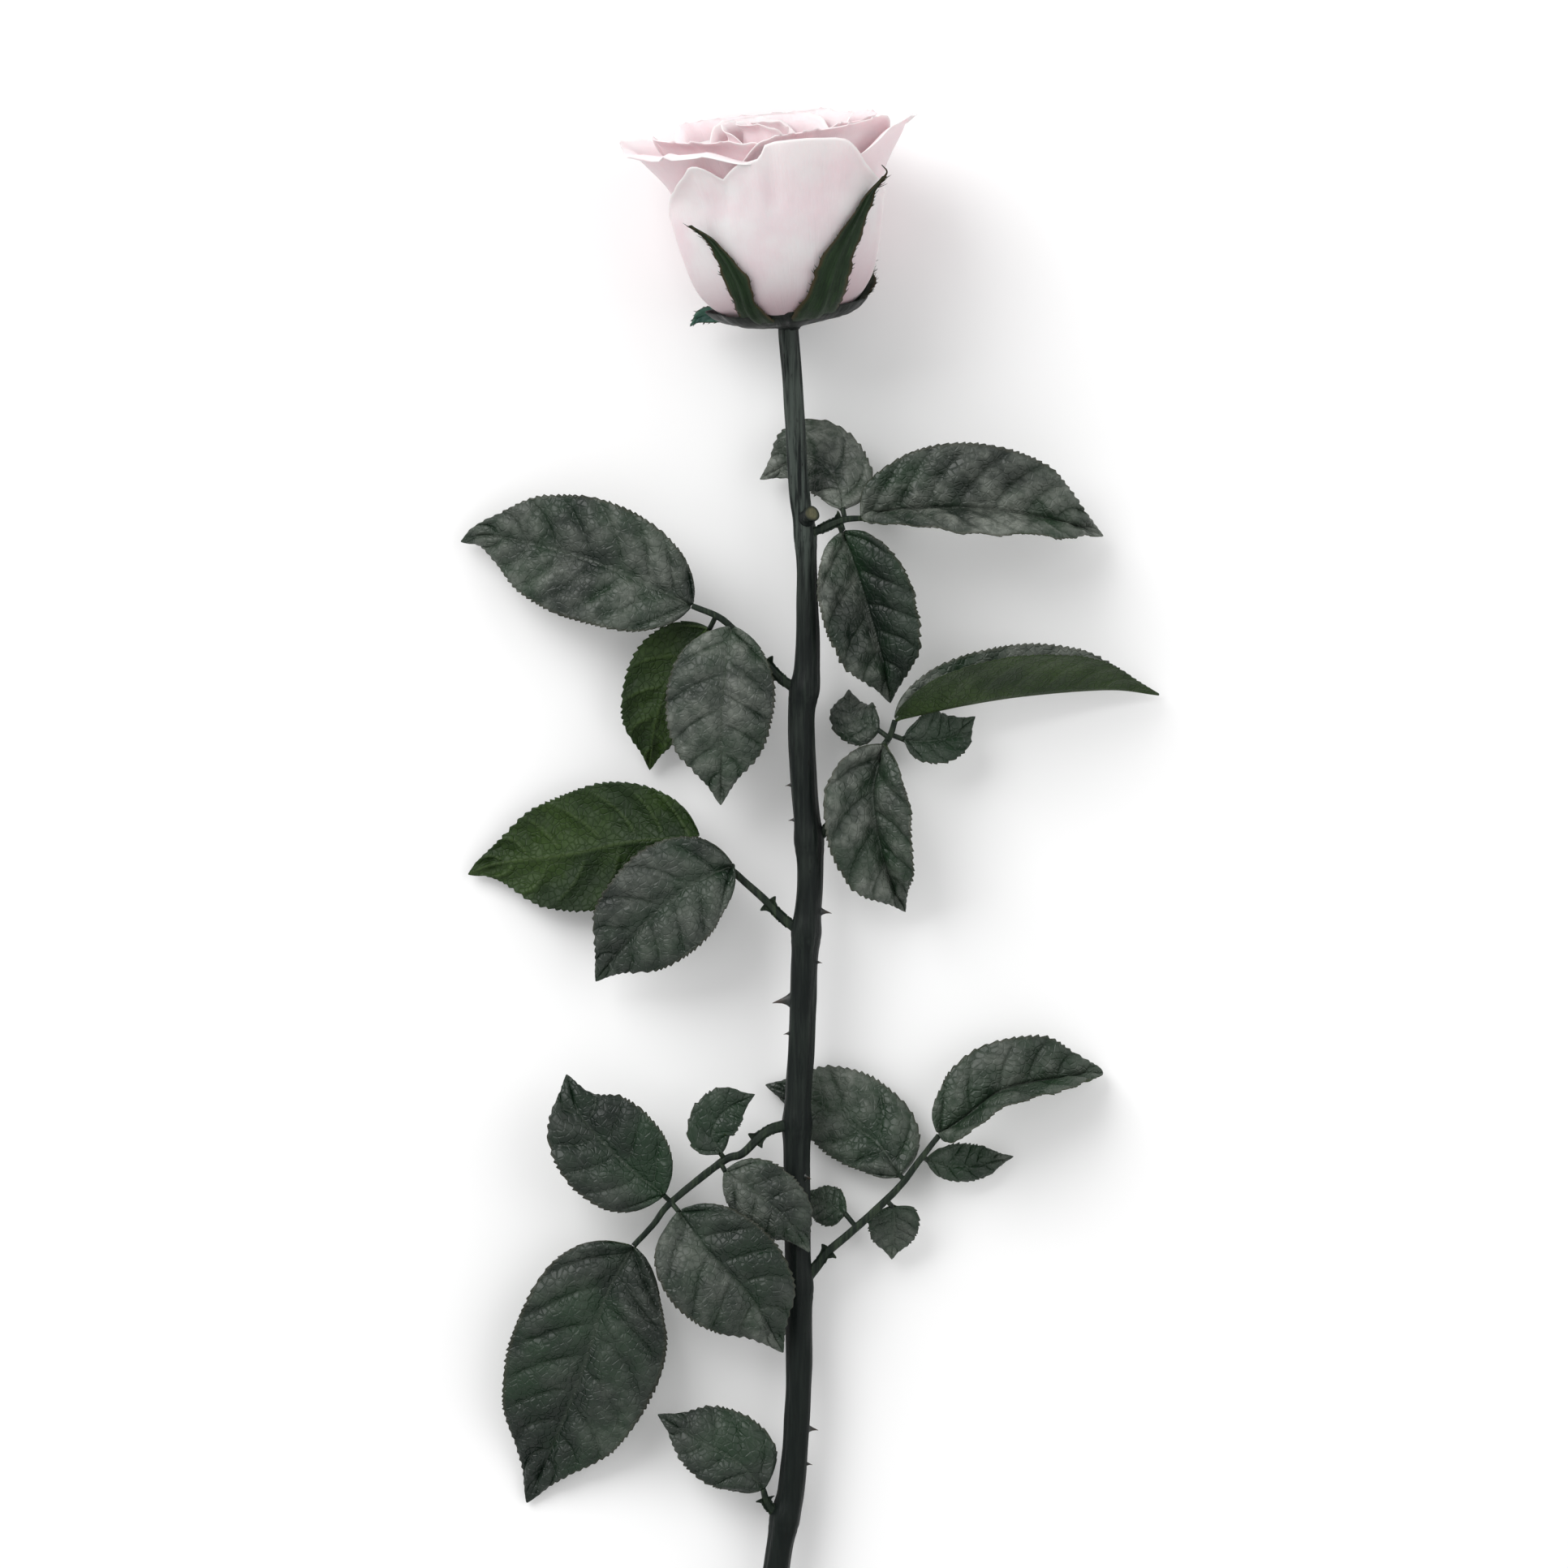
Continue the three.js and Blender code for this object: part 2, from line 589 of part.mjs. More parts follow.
// The common stalk of one leaf, winged near the stem, with the short stalks of its leaflets.
function rachis({ knot, path, leaflets }) {
  const place = onStem(knot);
  const [end, ...others] = Object.values(leaflets);
  const short = (from, foot) => foot.clone().add(from.clone().sub(foot).setLength(clearance));
  const onPath = path.map(place);
  const curve = spline([stemPoint(knot), ...onPath, short(onPath.at(-1), place(end.rib[0]))]);
  const length = curve.getLength();
  const wing = (t) => 1.1 * Math.exp(-(((t * length - 6) / 2.6) ** 2));
  const steps = Math.round(4 + length / 6);
  const size = (t) => [rachisRadius * lerp(1.25, 0.75, t) + wing(t), rachisRadius * lerp(1.25, 0.75, t)];
  const solid = others.reduce((all, { rib }) => {
    const foot = place(rib[0]);
    const nearest = curve.getSpacedPoints(80).reduce((a, b) => (b.distanceTo(foot) < a.distanceTo(foot) ? b : a));
    const stalk = new THREE.LineCurve3(nearest, short(nearest, foot));
    return all.add(toSolid(tube(stalk, () => [rachisRadius * 0.7, rachisRadius * 0.7], 1, 6)));
  }, toSolid(tube(curve, size, steps, 8)));
  return solid.subtract(stemShadow());
}

// ---------------------------------------------------------------- assembly
const group = new THREE.Group();
function add(name, geometry, color, roughness) {
  const mesh = new THREE.Mesh(geometry, new THREE.MeshStandardMaterial({ color, roughness, metalness: 0 }));
  mesh.name = name;
  group.add(mesh);
}

add("stem", toGeometry(stemSolid()), 0x27332b, 0.6);
add("receptacle", receptacle(), 0x3c5a2c, 0.6);
for (const one of sepals) add(one.name, sepal(one), 0x35592b, 0.7);
add("sepal_bent_back", blade(bentSepal, sepalThickness, (p) => vec(...p).add(collarEdge)), 0x35592b, 0.7);
for (let index = 0; index < petalCount; index++)
  add(`petal_${String(index + 1).padStart(2, "0")}`, petal(index), 0xf2e6e8, 0.7);
for (const leaf of leaves) {
  add(`${leaf.name}_stalk`, toGeometry(rachis(leaf)), 0x33492c, 0.6);
  for (const [place, leaflet] of Object.entries(leaf.leaflets))
    add(`${leaf.name}_${place}`, blade(leaflet, bladeThickness, onStem(leaf.knot)), 0x2e4730, 0.6);
}

// The middle of the footprint on the table is the origin.
const bounds = new THREE.Box3().setFromObject(group);
group.position.set(-(bounds.min.x + bounds.max.x) / 2, -(bounds.min.y + bounds.max.y) / 2, -bounds.min.z);

export default group;
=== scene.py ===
"""A cut rose on a pale table: petals, calyx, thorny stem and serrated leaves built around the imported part."""

import math

import bpy
import numpy as np
from bpy.props import FloatProperty, FloatVectorProperty, IntProperty, PointerProperty
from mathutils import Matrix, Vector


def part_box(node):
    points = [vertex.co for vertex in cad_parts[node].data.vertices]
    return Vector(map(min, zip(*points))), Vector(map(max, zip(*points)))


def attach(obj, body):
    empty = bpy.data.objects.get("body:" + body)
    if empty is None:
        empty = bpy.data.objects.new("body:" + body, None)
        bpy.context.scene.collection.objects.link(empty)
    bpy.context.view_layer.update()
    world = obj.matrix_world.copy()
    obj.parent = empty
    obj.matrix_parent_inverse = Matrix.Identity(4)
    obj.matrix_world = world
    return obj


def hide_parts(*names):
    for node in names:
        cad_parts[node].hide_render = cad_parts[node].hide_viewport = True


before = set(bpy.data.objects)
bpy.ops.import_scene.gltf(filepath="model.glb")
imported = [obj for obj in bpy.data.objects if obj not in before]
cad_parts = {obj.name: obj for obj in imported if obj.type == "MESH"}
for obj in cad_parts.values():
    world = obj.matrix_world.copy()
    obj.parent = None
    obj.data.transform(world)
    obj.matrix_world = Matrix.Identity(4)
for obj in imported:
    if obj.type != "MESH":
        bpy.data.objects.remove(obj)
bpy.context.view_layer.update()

bl_info = {
    "name": "Cut Rose",
    "version": (1, 0, 0),
    "blender": (4, 5, 0),
    "location": "View3D > Sidebar > Rose",
    "description": "Builds a cut rose lying on a table",
    "category": "Add Mesh",
}

# Lengths below are millimetres and angles degrees, in the rose's own layout: +Y from the neck up through
# the bloom, +Z up off the table. The neck is where the stem meets the bloom.
MM = 0.001
RECEPTACLE_MIDDLE = np.array([-0.184, 3.641, 0.31])  # of the receptacle's box, from the neck
NECK_HEIGHT = 20.4
CUT_HEIGHT = 4.4
STEM_LENGTH = 352.0


def place_of_origin():
    """Where the layout's own origin, on the table under the neck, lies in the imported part's frame."""
    low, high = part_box("receptacle")
    middle = (np.array(low) + np.array(high)) / 2 / MM
    return middle - RECEPTACLE_MIDDLE - np.array([0, 0, NECK_HEIGHT])


ORIGIN = place_of_origin()


# ------------------------------------------------------------------ small maths
def lerp(a, b, t):
    return a + (b - a) * t


def smooth(t):
    t = np.clip(t, 0.0, 1.0)
    return t * t * (3 - 2 * t)


def bump(x, centre, width):
    return np.exp(-(((x - centre) / width) ** 2))


def unit(v):
    return v / np.maximum(np.linalg.norm(v, axis=-1, keepdims=True), 1e-9)


def between(values, t):
    """Value at t of a row of evenly spaced values, from t = 0 to 1, without corners."""
    values = np.asarray(values, float)
    at = np.clip(t, 0, 1) * (len(values) - 1)
    low = np.minimum(at.astype(int), len(values) - 2)
    return lerp(values[low], values[low + 1], smooth(at - low))


def hashed(x, y, z, seed):
    n = (x * 374761393 + y * 668265263 + z * 2147483647 + seed * 1274126177) & 0xFFFFFFFF
    n = ((n ^ (n >> 13)) * 1274126177) & 0xFFFFFFFF
    return ((n ^ (n >> 16)) & 0xFFFF) / 32767.5 - 1.0


def noise(x, y, z=0.0, seed=0):
    """Smooth noise from -1 to 1."""
    x, y, z = np.broadcast_arrays(np.asarray(x, float), y, z)
    ix, iy, iz = (np.floor(a).astype(np.int64) for a in (x, y, z))
    fx, fy, fz = (smooth(a - i) for a, i in ((x, ix), (y, iy), (z, iz)))
    total = 0.0
    for dx in (0, 1):
        for dy in (0, 1):
            for dz in (0, 1):
                weight = (fx if dx else 1 - fx) * (fy if dy else 1 - fy) * (fz if dz else 1 - fz)
                total = total + weight * hashed(ix + dx, iy + dy, iz + dz, seed)
    return total


class Path:
    """Smooth curve through points, walked by the share of its length."""

    def __init__(self, points, steps=60):
        p = np.asarray(points, float)
        p = np.vstack([2 * p[0] - p[1], p, 2 * p[-1] - p[-2]])
        t = np.linspace(0, 1, steps, endpoint=False)[:, None]
        rows = []
        for a, b, c, d in zip(p, p[1:], p[2:], p[3:]):
            v0, v1 = (c - a) / 2, (d - b) / 2
            rows.append(
                (2 * b - 2 * c + v0 + v1) * t**3 + (-3 * b + 3 * c - 2 * v0 - v1) * t**2 + v0 * t + b
            )
        self.points = np.vstack([*rows, p[-2:-1]])
        step = np.linalg.norm(np.diff(self.points, axis=0), axis=1)
        self.reach = np.concatenate([[0], np.cumsum(step)])
        self.length = self.reach[-1]

    def at(self, t):
        s = np.clip(t, 0, 1) * self.length
        return np.stack(
            [np.interp(s, self.reach, self.points[:, k]) for k in range(self.points.shape[1])], -1
        )

    def heading(self, t):
        return unit(self.at(np.asarray(t) + 0.004) - self.at(np.asarray(t) - 0.004))


def across(heading):
    """Side, flat and to the left of the heading, and rise, square to both."""
    side = unit(np.cross([0.0, 0.0, 1.0], heading))
    return side, unit(np.cross(heading, side))


# ------------------------------------------------------------------ meshes
def new_piece(name, points, faces, uv=None, marks=None):
    """Mesh object from layout points in millimetres, turned to face outwards and shaded smooth."""
    points = np.asarray(points, float)
    faces = np.asarray(faces, np.int64)
    a, b, c, d = (points[faces[:, k]] for k in range(4))
    volume = np.einsum("ij,ij->", a, np.cross(b, c)) + np.einsum("ij,ij->", a, np.cross(c, d))
    if volume < 0:
        faces = faces[:, ::-1]
    mesh = bpy.data.meshes.new(name)
    placed = (points + ORIGIN) * MM
    loops = [[i for k, i in enumerate(f) if k == 0 or i != f[k - 1]] for f in faces.tolist()]
    loops = [f[:-1] if len(f) > 1 and f[0] == f[-1] else f for f in loops]
    mesh.from_pydata(placed.tolist(), [], [f for f in loops if len(f) > 2])
    mesh.polygons.foreach_set("use_smooth", np.ones(len(mesh.polygons), bool))
    if uv is not None:
        layer = mesh.uv_layers.new(name="UVMap")
        index = np.empty(len(mesh.loops), np.int64)
        mesh.loops.foreach_get("vertex_index", index)
        layer.data.foreach_set("uv", np.asarray(uv, np.float32)[index].ravel())
    for key, values in (marks or {}).items():
        attribute = mesh.attributes.new(key, "FLOAT", "POINT")
        attribute.data.foreach_set("value", np.ascontiguousarray(values, np.float32).ravel())
    mesh.update()
    piece = bpy.data.objects.new(name, mesh)
    bpy.context.scene.collection.objects.link(piece)
    return piece


def sheet_arrays(middle, thickness, uv, marks):
    """Points and faces of a closed sheet of some thickness around a grid of points."""
    rows, columns = middle.shape[:2]
    along = np.gradient(middle, axis=0)
    sideways = np.gradient(middle, axis=1)
    normal = unit(np.cross(sideways, along))
    half = np.broadcast_to(np.asarray(thickness, float), (rows, columns))[..., None] / 2
    points = np.concatenate(
        [(middle + normal * half).reshape(-1, 3), (middle - normal * half).reshape(-1, 3)]
    )
    index = np.arange(rows * columns).reshape(rows, columns)
    a, b, c, d = index[:-1, :-1], index[:-1, 1:], index[1:, 1:], index[1:, :-1]
    upper = np.stack([a, b, c, d], -1).reshape(-1, 4)
    other = rows * columns
    rim = np.concatenate([index[0], index[1:, -1], index[-1, -2::-1], index[-2:0:-1, 0]])
    after = np.roll(rim, -1)
    wall = np.stack([after, rim, rim + other, after + other], -1)
    faces = np.concatenate([upper, upper[:, ::-1] + other, wall])
    twice = {key: np.concatenate([np.ravel(v), np.ravel(v)]) for key, v in marks.items()}
    twice["upper"] = np.concatenate([np.ones(other), np.zeros(other)])
    return points, faces, np.concatenate([uv.reshape(-1, 2)] * 2), twice


def tube_arrays(path, radii, steps, sides, slant=0.0, round_end=0.0):
    """Points and faces of a closed tube. radii(t, turn) gives the half-widths across and up."""
    t = np.linspace(0, 1, steps)[:, None]
    turn = np.linspace(0, 2 * np.pi, sides, endpoint=False)[None, :]
    centre, heading = path.at(t[:, 0]), path.heading(t[:, 0])
    side, rise = across(heading)
    wide, high = radii(t, turn)
    rings = (
        centre[:, None]
        + side[:, None] * (wide * np.cos(turn))[..., None]
        + rise[:, None] * (high * np.sin(turn))[..., None]
    )
    rings[-1] += heading[-1] * slant * np.cos(turn[0])[:, None]
    index = np.arange(steps * sides).reshape(steps, sides)
    right = np.roll(index, -1, axis=1)
    walls = np.stack([index[:-1], right[:-1], right[1:], index[1:]], -1).reshape(-1, 4)
    points = [rings.reshape(-1, 3)]
    faces = [walls]
    first = steps * sides
    for ring, flip in ((0, True), (steps - 1, False)):
        inner = lerp(rings[ring].mean(0), rings[ring], 0.55)
        crown = rings[ring].mean(0) + heading[ring] * (-round_end if flip else round_end)
        points += [inner, crown[None]]
        a, b = index[ring], right[ring]
        c = first + (np.arange(sides) + 1) % sides
        d = first + np.arange(sides)
        middle = np.full(sides, first + sides)
        band = np.stack([a, b, c, d], -1)
        cap = np.stack([d, c, middle, middle], -1)
        faces += [band[:, ::-1], cap[:, ::-1]] if flip else [band, cap]
        first += sides + 1
    points = np.concatenate(points)
    share = np.broadcast_to(t, (steps, sides)).ravel()
    round_share = np.broadcast_to(turn / (2 * np.pi), (steps, sides)).ravel()
    caps = np.concatenate([np.zeros(sides + 1), np.ones(sides + 1)])
    uv = np.stack([np.concatenate([round_share, caps * 0]), np.concatenate([share, caps])], -1)
    cut = np.concatenate([np.zeros(steps * sides), np.ones(2 * sides + 2)])
    marks = {"cut": cut, "share": np.concatenate([share, caps])}
    return points, np.concatenate(faces), uv, marks


def join_arrays(parts):
    """One set of arrays from several, keeping every mark that any of them carries."""
    keys = sorted({key for part in parts for key in part[3]})
    points, faces, uvs, marks, first = [], [], [], {key: [] for key in keys}, 0
    for p, f, uv, m in parts:
        points.append(p)
        faces.append(f + first)
        uvs.append(uv)
        for key in keys:
            marks[key].append(m.get(key, np.zeros(len(p))))
        first += len(p)
    return (
        np.concatenate(points),
        np.concatenate(faces),
        np.concatenate(uvs),
        {key: np.concatenate(v) for key, v in marks.items()},
    )


def finish_piece(piece, material, slot, *nodes):
    """Gives a piece its finish and its place on the part's one body, and hides the part's nodes that it stands
    for.
    """
    piece.data.materials.clear()
    piece.data.materials.append(material)
    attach(piece, "root")
    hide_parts(*nodes)
    return piece


# ------------------------------------------------------------------ finishes
class Finish:
    """A node material under construction."""

    def __init__(self, name):
        self.material = bpy.data.materials.get(name) or bpy.data.materials.new(name)
        self.material.use_nodes = True
        self.tree = self.material.node_tree
        self.tree.nodes.clear()
        self.out = self.node("ShaderNodeOutputMaterial")
        self.skin = self.node("ShaderNodeBsdfPrincipled")
        self.join(self.skin.outputs[0], self.out.inputs["Surface"])

    def node(self, kind, **settings):
        made = self.tree.nodes.new(kind)
        for key, value in settings.items():
            setattr(made, key, value)
        return made

    def join(self, source, target):
        self.tree.links.new(source, target)

    def mark(self, key):
        return self.node("ShaderNodeAttribute", attribute_name=key).outputs["Fac"]

    def uv(self, scale):
        mapping = self.node("ShaderNodeMapping")
        mapping.inputs["Scale"].default_value = scale
        self.join(self.node("ShaderNodeUVMap", uv_map="UVMap").outputs[0], mapping.inputs[0])
        return mapping.outputs[0]

    def place(self, scale=(1, 1, 1)):
        mapping = self.node("ShaderNodeMapping")
        mapping.inputs["Scale"].default_value = scale
        self.join(self.node("ShaderNodeTexCoord").outputs["Object"], mapping.inputs[0])
        return mapping.outputs[0]

    def noise(self, where, scale, detail=3.0, rough=0.55):
        made = self.node("ShaderNodeTexNoise")
        self.join(where, made.inputs["Vector"])
        made.inputs["Scale"].default_value = scale
        made.inputs["Detail"].default_value = detail
        made.inputs["Roughness"].default_value = rough
        return made.outputs["Fac"]

    def cells(self, where, scale):
        made = self.node("ShaderNodeTexVoronoi", feature="DISTANCE_TO_EDGE")
        self.join(where, made.inputs["Vector"])
        made.inputs["Scale"].default_value = scale
        return made.outputs["Distance"]

    def span(self, source, low, high, to_low=0.0, to_high=1.0):
        made = self.node("ShaderNodeMapRange", interpolation_type="SMOOTHSTEP")
        self.join(source, made.inputs["Value"])
        for key, value in (("From Min", low), ("From Max", high), ("To Min", to_low), ("To Max", to_high)):
            made.inputs[key].default_value = value
        return made.outputs["Result"]

    def sum(self, a, b, operation="ADD"):
        made = self.node("ShaderNodeMath", operation=operation)
        for socket, value in zip(made.inputs, (a, b)):
            if isinstance(value, (int, float)):
                socket.default_value = value
            else:
                self.join(value, socket)
        return made.outputs[0]

    def blend(self, share, a, b, kind="MIX"):
        made = self.node("ShaderNodeMix", data_type="RGBA", blend_type=kind)
        for socket, value in ((made.inputs[0], share), (made.inputs[6], a), (made.inputs[7], b)):
            if isinstance(value, (int, float)):
                socket.default_value = value
            elif isinstance(value, (tuple, list)) or hasattr(value, "r"):
                socket.default_value = (*tuple(value)[:3], 1.0)
            else:
                self.join(value, socket)
        return made.outputs[2]

    def raise_by(self, height, distance, strength=1.0, onto=None):
        made = self.node("ShaderNodeBump")
        made.inputs["Strength"].default_value = strength
        made.inputs["Distance"].default_value = distance
        self.join(height, made.inputs["Height"])
        if onto is not None:
            self.join(onto, made.inputs["Normal"])
        return made.outputs[0]

    def set(self, **values):
        for key, value in values.items():
            socket = self.skin.inputs[key.replace("_", " ")]
            if isinstance(value, (int, float, tuple, list)):
                socket.default_value = value
            else:
                self.join(value, socket)
        return self


def petal_finish(settings):
    f = Finish("Petal")
    body = f.noise(f.place(), 60.0, 3.0, 0.6)
    mottled = f.noise(f.place(), 240.0, 4.0, 0.6)
    veins = f.noise(f.uv((60.0, 1.4, 1.0)), 3.0, 3.0, 0.6)
    pale, blush = tuple(settings.petal_colour), tuple(settings.petal_blush)
    skin = f.blend(f.span(body, 0.34, 0.68, 0.0, 0.75), pale, blush)
    skin = f.blend(f.span(mottled, 0.5, 0.75, 0.0, 0.3), skin, (0.74, 0.62, 0.63))
    skin = f.blend(f.span(veins, 0.52, 0.74, 0.0, 0.2), skin, (0.76, 0.55, 0.58))
    # Painted pink glow: the inside face of every petal, and every petal but the outermost, is tinted pinker.
    # This stands in for the light bounced round the bloom's recesses.
    inside = f.sum(1.0, f.mark("upper"), "SUBTRACT")
    skin = f.blend(f.span(f.sum(inside, f.mark("flush")), 0.0, 1.0, 0.0, 0.6), skin, (0.93, 0.69, 0.735))
    # Painted shade: each petal darkens towards its base, where the cup and the sepals shade it.
    skin = f.blend(f.span(f.mark("claw"), 0.0, 1.0, 0.0, 0.95), skin, (0.42, 0.28, 0.305))
    # Paler towards the lip, with a thin painted highlight along every edge.
    skin = f.blend(f.mark("rim"), skin, (0.92, 0.865, 0.86))
    relief = f.raise_by(veins, 0.00025, 0.45, f.raise_by(mottled, 0.0003, 0.5))
    f.set(
        Base_Color=skin,
        Roughness=f.span(mottled, 0.2, 0.8, 0.48, 0.62),
        Normal=relief,
        Subsurface_Weight=0.25,
        Subsurface_Radius=(1.0, 0.3, 0.34),
        Subsurface_Scale=0.005,
        Sheen_Weight=0.1,
        Sheen_Roughness=0.5,
        Specular_IOR_Level=0.3,
    )
    return f.material


def blade_finish(settings):
    f = Finish("Leaf blade")
    upper, vein, toothed = f.mark("upper"), f.mark("vein"), f.mark("rim")
    broad = f.noise(f.place(), 45.0, 3.0, 0.6)
    fine = f.noise(f.place(), 420.0, 4.0, 0.65)
    patches_and_sheen = f.noise(f.place(), 110.0, 4.0, 0.6)
    net = f.cells(f.uv((1.0, 1.0, 1.0)), 52.0)
    mesh = f.span(net, 0.0, 0.14)
    dark, light = tuple(settings.leaf_colour), tuple(settings.leaf_light)
    top = f.blend(f.span(broad, 0.38, 0.66), dark, light)
    top = f.blend(f.span(patches_and_sheen, 0.48, 0.74, 0.0, 0.4), top, (0.030, 0.042, 0.031))
    # Painted sheen: where the pale mark is strong, the upper side is painted light grey. It is a painted
    # reflection of the light, broken up by patchy and fine noise.
    bloom = f.sum(f.mark("pale"), f.span(patches_and_sheen, 0.36, 0.62, 0.2, 1.0), "MULTIPLY")
    bloom = f.sum(bloom, f.span(fine, 0.36, 0.62, 0.5, 1.0), "MULTIPLY")
    top = f.blend(bloom, top, (0.165, 0.180, 0.156))
    top = f.blend(f.span(fine, 0.5, 0.8, 0.0, 0.25), top, (0.04, 0.055, 0.042))
    top = f.blend(f.span(vein, 0.3, 1.0, 0.0, 0.4), top, (0.045, 0.062, 0.042))
    top = f.blend(f.span(toothed, 0.3, 1.0, 0.0, 0.45), top, (0.045, 0.042, 0.026))
    under = f.blend(f.span(broad, 0.38, 0.66), tuple(settings.leaf_under), (0.019, 0.046, 0.002))
    under = f.blend(f.span(patches_and_sheen, 0.48, 0.72, 0.0, 0.5), under, (0.006, 0.016, 0.004))
    under = f.blend(f.sum(f.sum(1.0, mesh, "SUBTRACT"), 0.35, "MULTIPLY"), under, (0.007, 0.016, 0.004))
    under = f.blend(f.span(vein, 0.35, 1.0, 0.0, 0.55), under, (0.034, 0.064, 0.008))
    skin = f.blend(upper, under, top)
    gloss = f.span(patches_and_sheen, 0.35, 0.7, 0.33, 0.47)
    rough = f.sum(f.sum(f.sum(1.0, upper, "SUBTRACT"), 0.2, "MULTIPLY"), gloss)
    relief = f.raise_by(mesh, 0.0004, 0.45, f.raise_by(patches_and_sheen, 0.0009, 0.5, f.raise_by(fine, 0.00016, 0.4)))
    f.set(Base_Color=skin, Roughness=rough, Normal=relief, Specular_IOR_Level=0.34)
    return f.material


def stem_finish(name, dark, light, neck=(0.0, 0.0, 0.0)):
    f = Finish(name)
    share, cut = f.mark("share"), f.mark("cut")
    grain = f.noise(f.place((1100.0, 55.0, 1100.0)), 1.0, 4.0, 0.6)
    blotch = f.noise(f.place((160.0, 50.0, 160.0)), 1.0, 3.0, 0.6)
    specks = f.noise(f.place((1500.0, 420.0, 1500.0)), 1.0, 2.0, 0.5)
    skin = f.blend(f.span(grain, 0.4, 0.74), dark, light)
    skin = f.blend(f.span(blotch, 0.5, 0.76, 0.0, 0.5), skin, (0.024, 0.030, 0.025))
    if any(neck):
        skin = f.blend(
            f.sum(f.span(share, 0.12, 0.2, 0.75, 0.0), f.span(grain, 0.35, 0.6), "MULTIPLY"), skin, neck
        )
        skin = f.blend(f.span(share, 0.4, 0.75, 0.0, 0.7), skin, (0.003, 0.006, 0.005))
    skin = f.blend(f.span(specks, 0.66, 0.74, 0.0, 0.8), skin, (0.004, 0.005, 0.004))
    pith = f.blend(f.span(grain, 0.4, 0.6), (0.34, 0.32, 0.18), (0.20, 0.19, 0.10))
    skin = f.blend(cut, skin, pith)
    relief = f.raise_by(grain, 0.0005, 0.6, f.raise_by(specks, 0.0002, 0.4))
    f.set(
        Base_Color=skin, Roughness=f.span(blotch, 0.3, 0.7, 0.42, 0.58), Normal=relief,
        Specular_IOR_Level=0.15,
    )
    return f.material


def green_finish(name, dark, light, edge):
    f = Finish(name)
    streaks = f.noise(f.uv((26.0, 3.0, 1.0)), 2.0, 4.0, 0.65)
    broad = f.noise(f.place(), 180.0, 3.0, 0.6)
    skin = f.blend(f.span(streaks, 0.36, 0.72), dark, light)
    skin = f.blend(f.span(broad, 0.45, 0.75, 0.0, 0.55), skin, dark)
    skin = f.blend(f.span(f.mark("rim"), 0.0, 1.0, 0.0, 0.8), skin, edge)
    relief = f.raise_by(streaks, 0.0005, 0.8, f.raise_by(broad, 0.0003, 0.4))
    f.set(
        Base_Color=skin, Roughness=f.span(broad, 0.3, 0.7, 0.42, 0.6), Normal=relief,
        Specular_IOR_Level=0.22,
    )
    return f.material


def prickle_finish(dark, light):
    f = Finish("Prickle")
    share = f.mark("share")
    grain = f.noise(f.place(), 900.0, 3.0, 0.6)
    skin = f.blend(f.span(grain, 0.4, 0.7), dark, light)
    skin = f.blend(f.span(share, 0.1, 0.9), skin, (0.035, 0.022, 0.015))
    f.set(Base_Color=skin, Roughness=0.42, Normal=f.raise_by(grain, 0.0002, 0.3))
    return f.material


# ------------------------------------------------------------------ scattering
def scatter_tree():
    """Node group that sets a turned, sized copy of a template on each point and gives them one finish."""
    name = "Set along"
    if name in bpy.data.node_groups:
        return bpy.data.node_groups[name]
    tree = bpy.data.node_groups.new(name, "GeometryNodeTree")
    tree.interface.new_socket("Geometry", in_out="INPUT", socket_type="NodeSocketGeometry")
    tree.interface.new_socket("Template", in_out="INPUT", socket_type="NodeSocketObject")
    tree.interface.new_socket("Finish", in_out="INPUT", socket_type="NodeSocketMaterial")
    tree.interface.new_socket("Size", in_out="INPUT", socket_type="NodeSocketFloat")
    tree.interface.new_socket("Geometry", in_out="OUTPUT", socket_type="NodeSocketGeometry")
    add, link = tree.nodes.new, tree.links.new
    given, result = add("NodeGroupInput"), add("NodeGroupOutput")
    points = add("GeometryNodeMeshToPoints")
    template = add("GeometryNodeObjectInfo")
    template.inputs["As Instance"].default_value = True
    turned = add("GeometryNodeInputNamedAttribute")
    turned.data_type = "FLOAT_VECTOR"
    turned.inputs["Name"].default_value = "turned"
    sized = add("GeometryNodeInputNamedAttribute")
    sized.data_type = "FLOAT_VECTOR"
    sized.inputs["Name"].default_value = "sized"
    rotation = add("FunctionNodeEulerToRotation")
    scale = add("ShaderNodeVectorMath")
    scale.operation = "SCALE"
    copies = add("GeometryNodeInstanceOnPoints")
    real = add("GeometryNodeRealizeInstances")
    skin = add("GeometryNodeSetMaterial")
    link(given.outputs["Geometry"], points.inputs["Mesh"])
    link(given.outputs["Template"], template.inputs["Object"])
    link(turned.outputs["Attribute"], rotation.inputs[0])
    link(sized.outputs["Attribute"], scale.inputs[0])
    link(given.outputs["Size"], scale.inputs["Scale"])
    link(points.outputs[0], copies.inputs["Points"])
    link(template.outputs["Geometry"], copies.inputs["Instance"])
    link(rotation.outputs[0], copies.inputs["Rotation"])
    link(scale.outputs[0], copies.inputs["Scale"])
    link(copies.outputs[0], real.inputs[0])
    link(real.outputs[0], skin.inputs["Geometry"])
    link(given.outputs["Finish"], skin.inputs["Material"])
    link(skin.outputs[0], result.inputs[0])
    return tree


def turn_towards(aim, lean):
    """Euler angles that stand a template's +Z along aim with its +X as near to lean as it can be."""
    from mathutils import Matrix, Vector

    up = Vector(aim).normalized()
    side = Vector(lean) - up * up.dot(Vector(lean))
    side = side.normalized() if side.length > 1e-6 else up.orthogonal().normalized()
    matrix = Matrix((side, up.cross(side), up)).transposed()
    return tuple(matrix.to_euler())


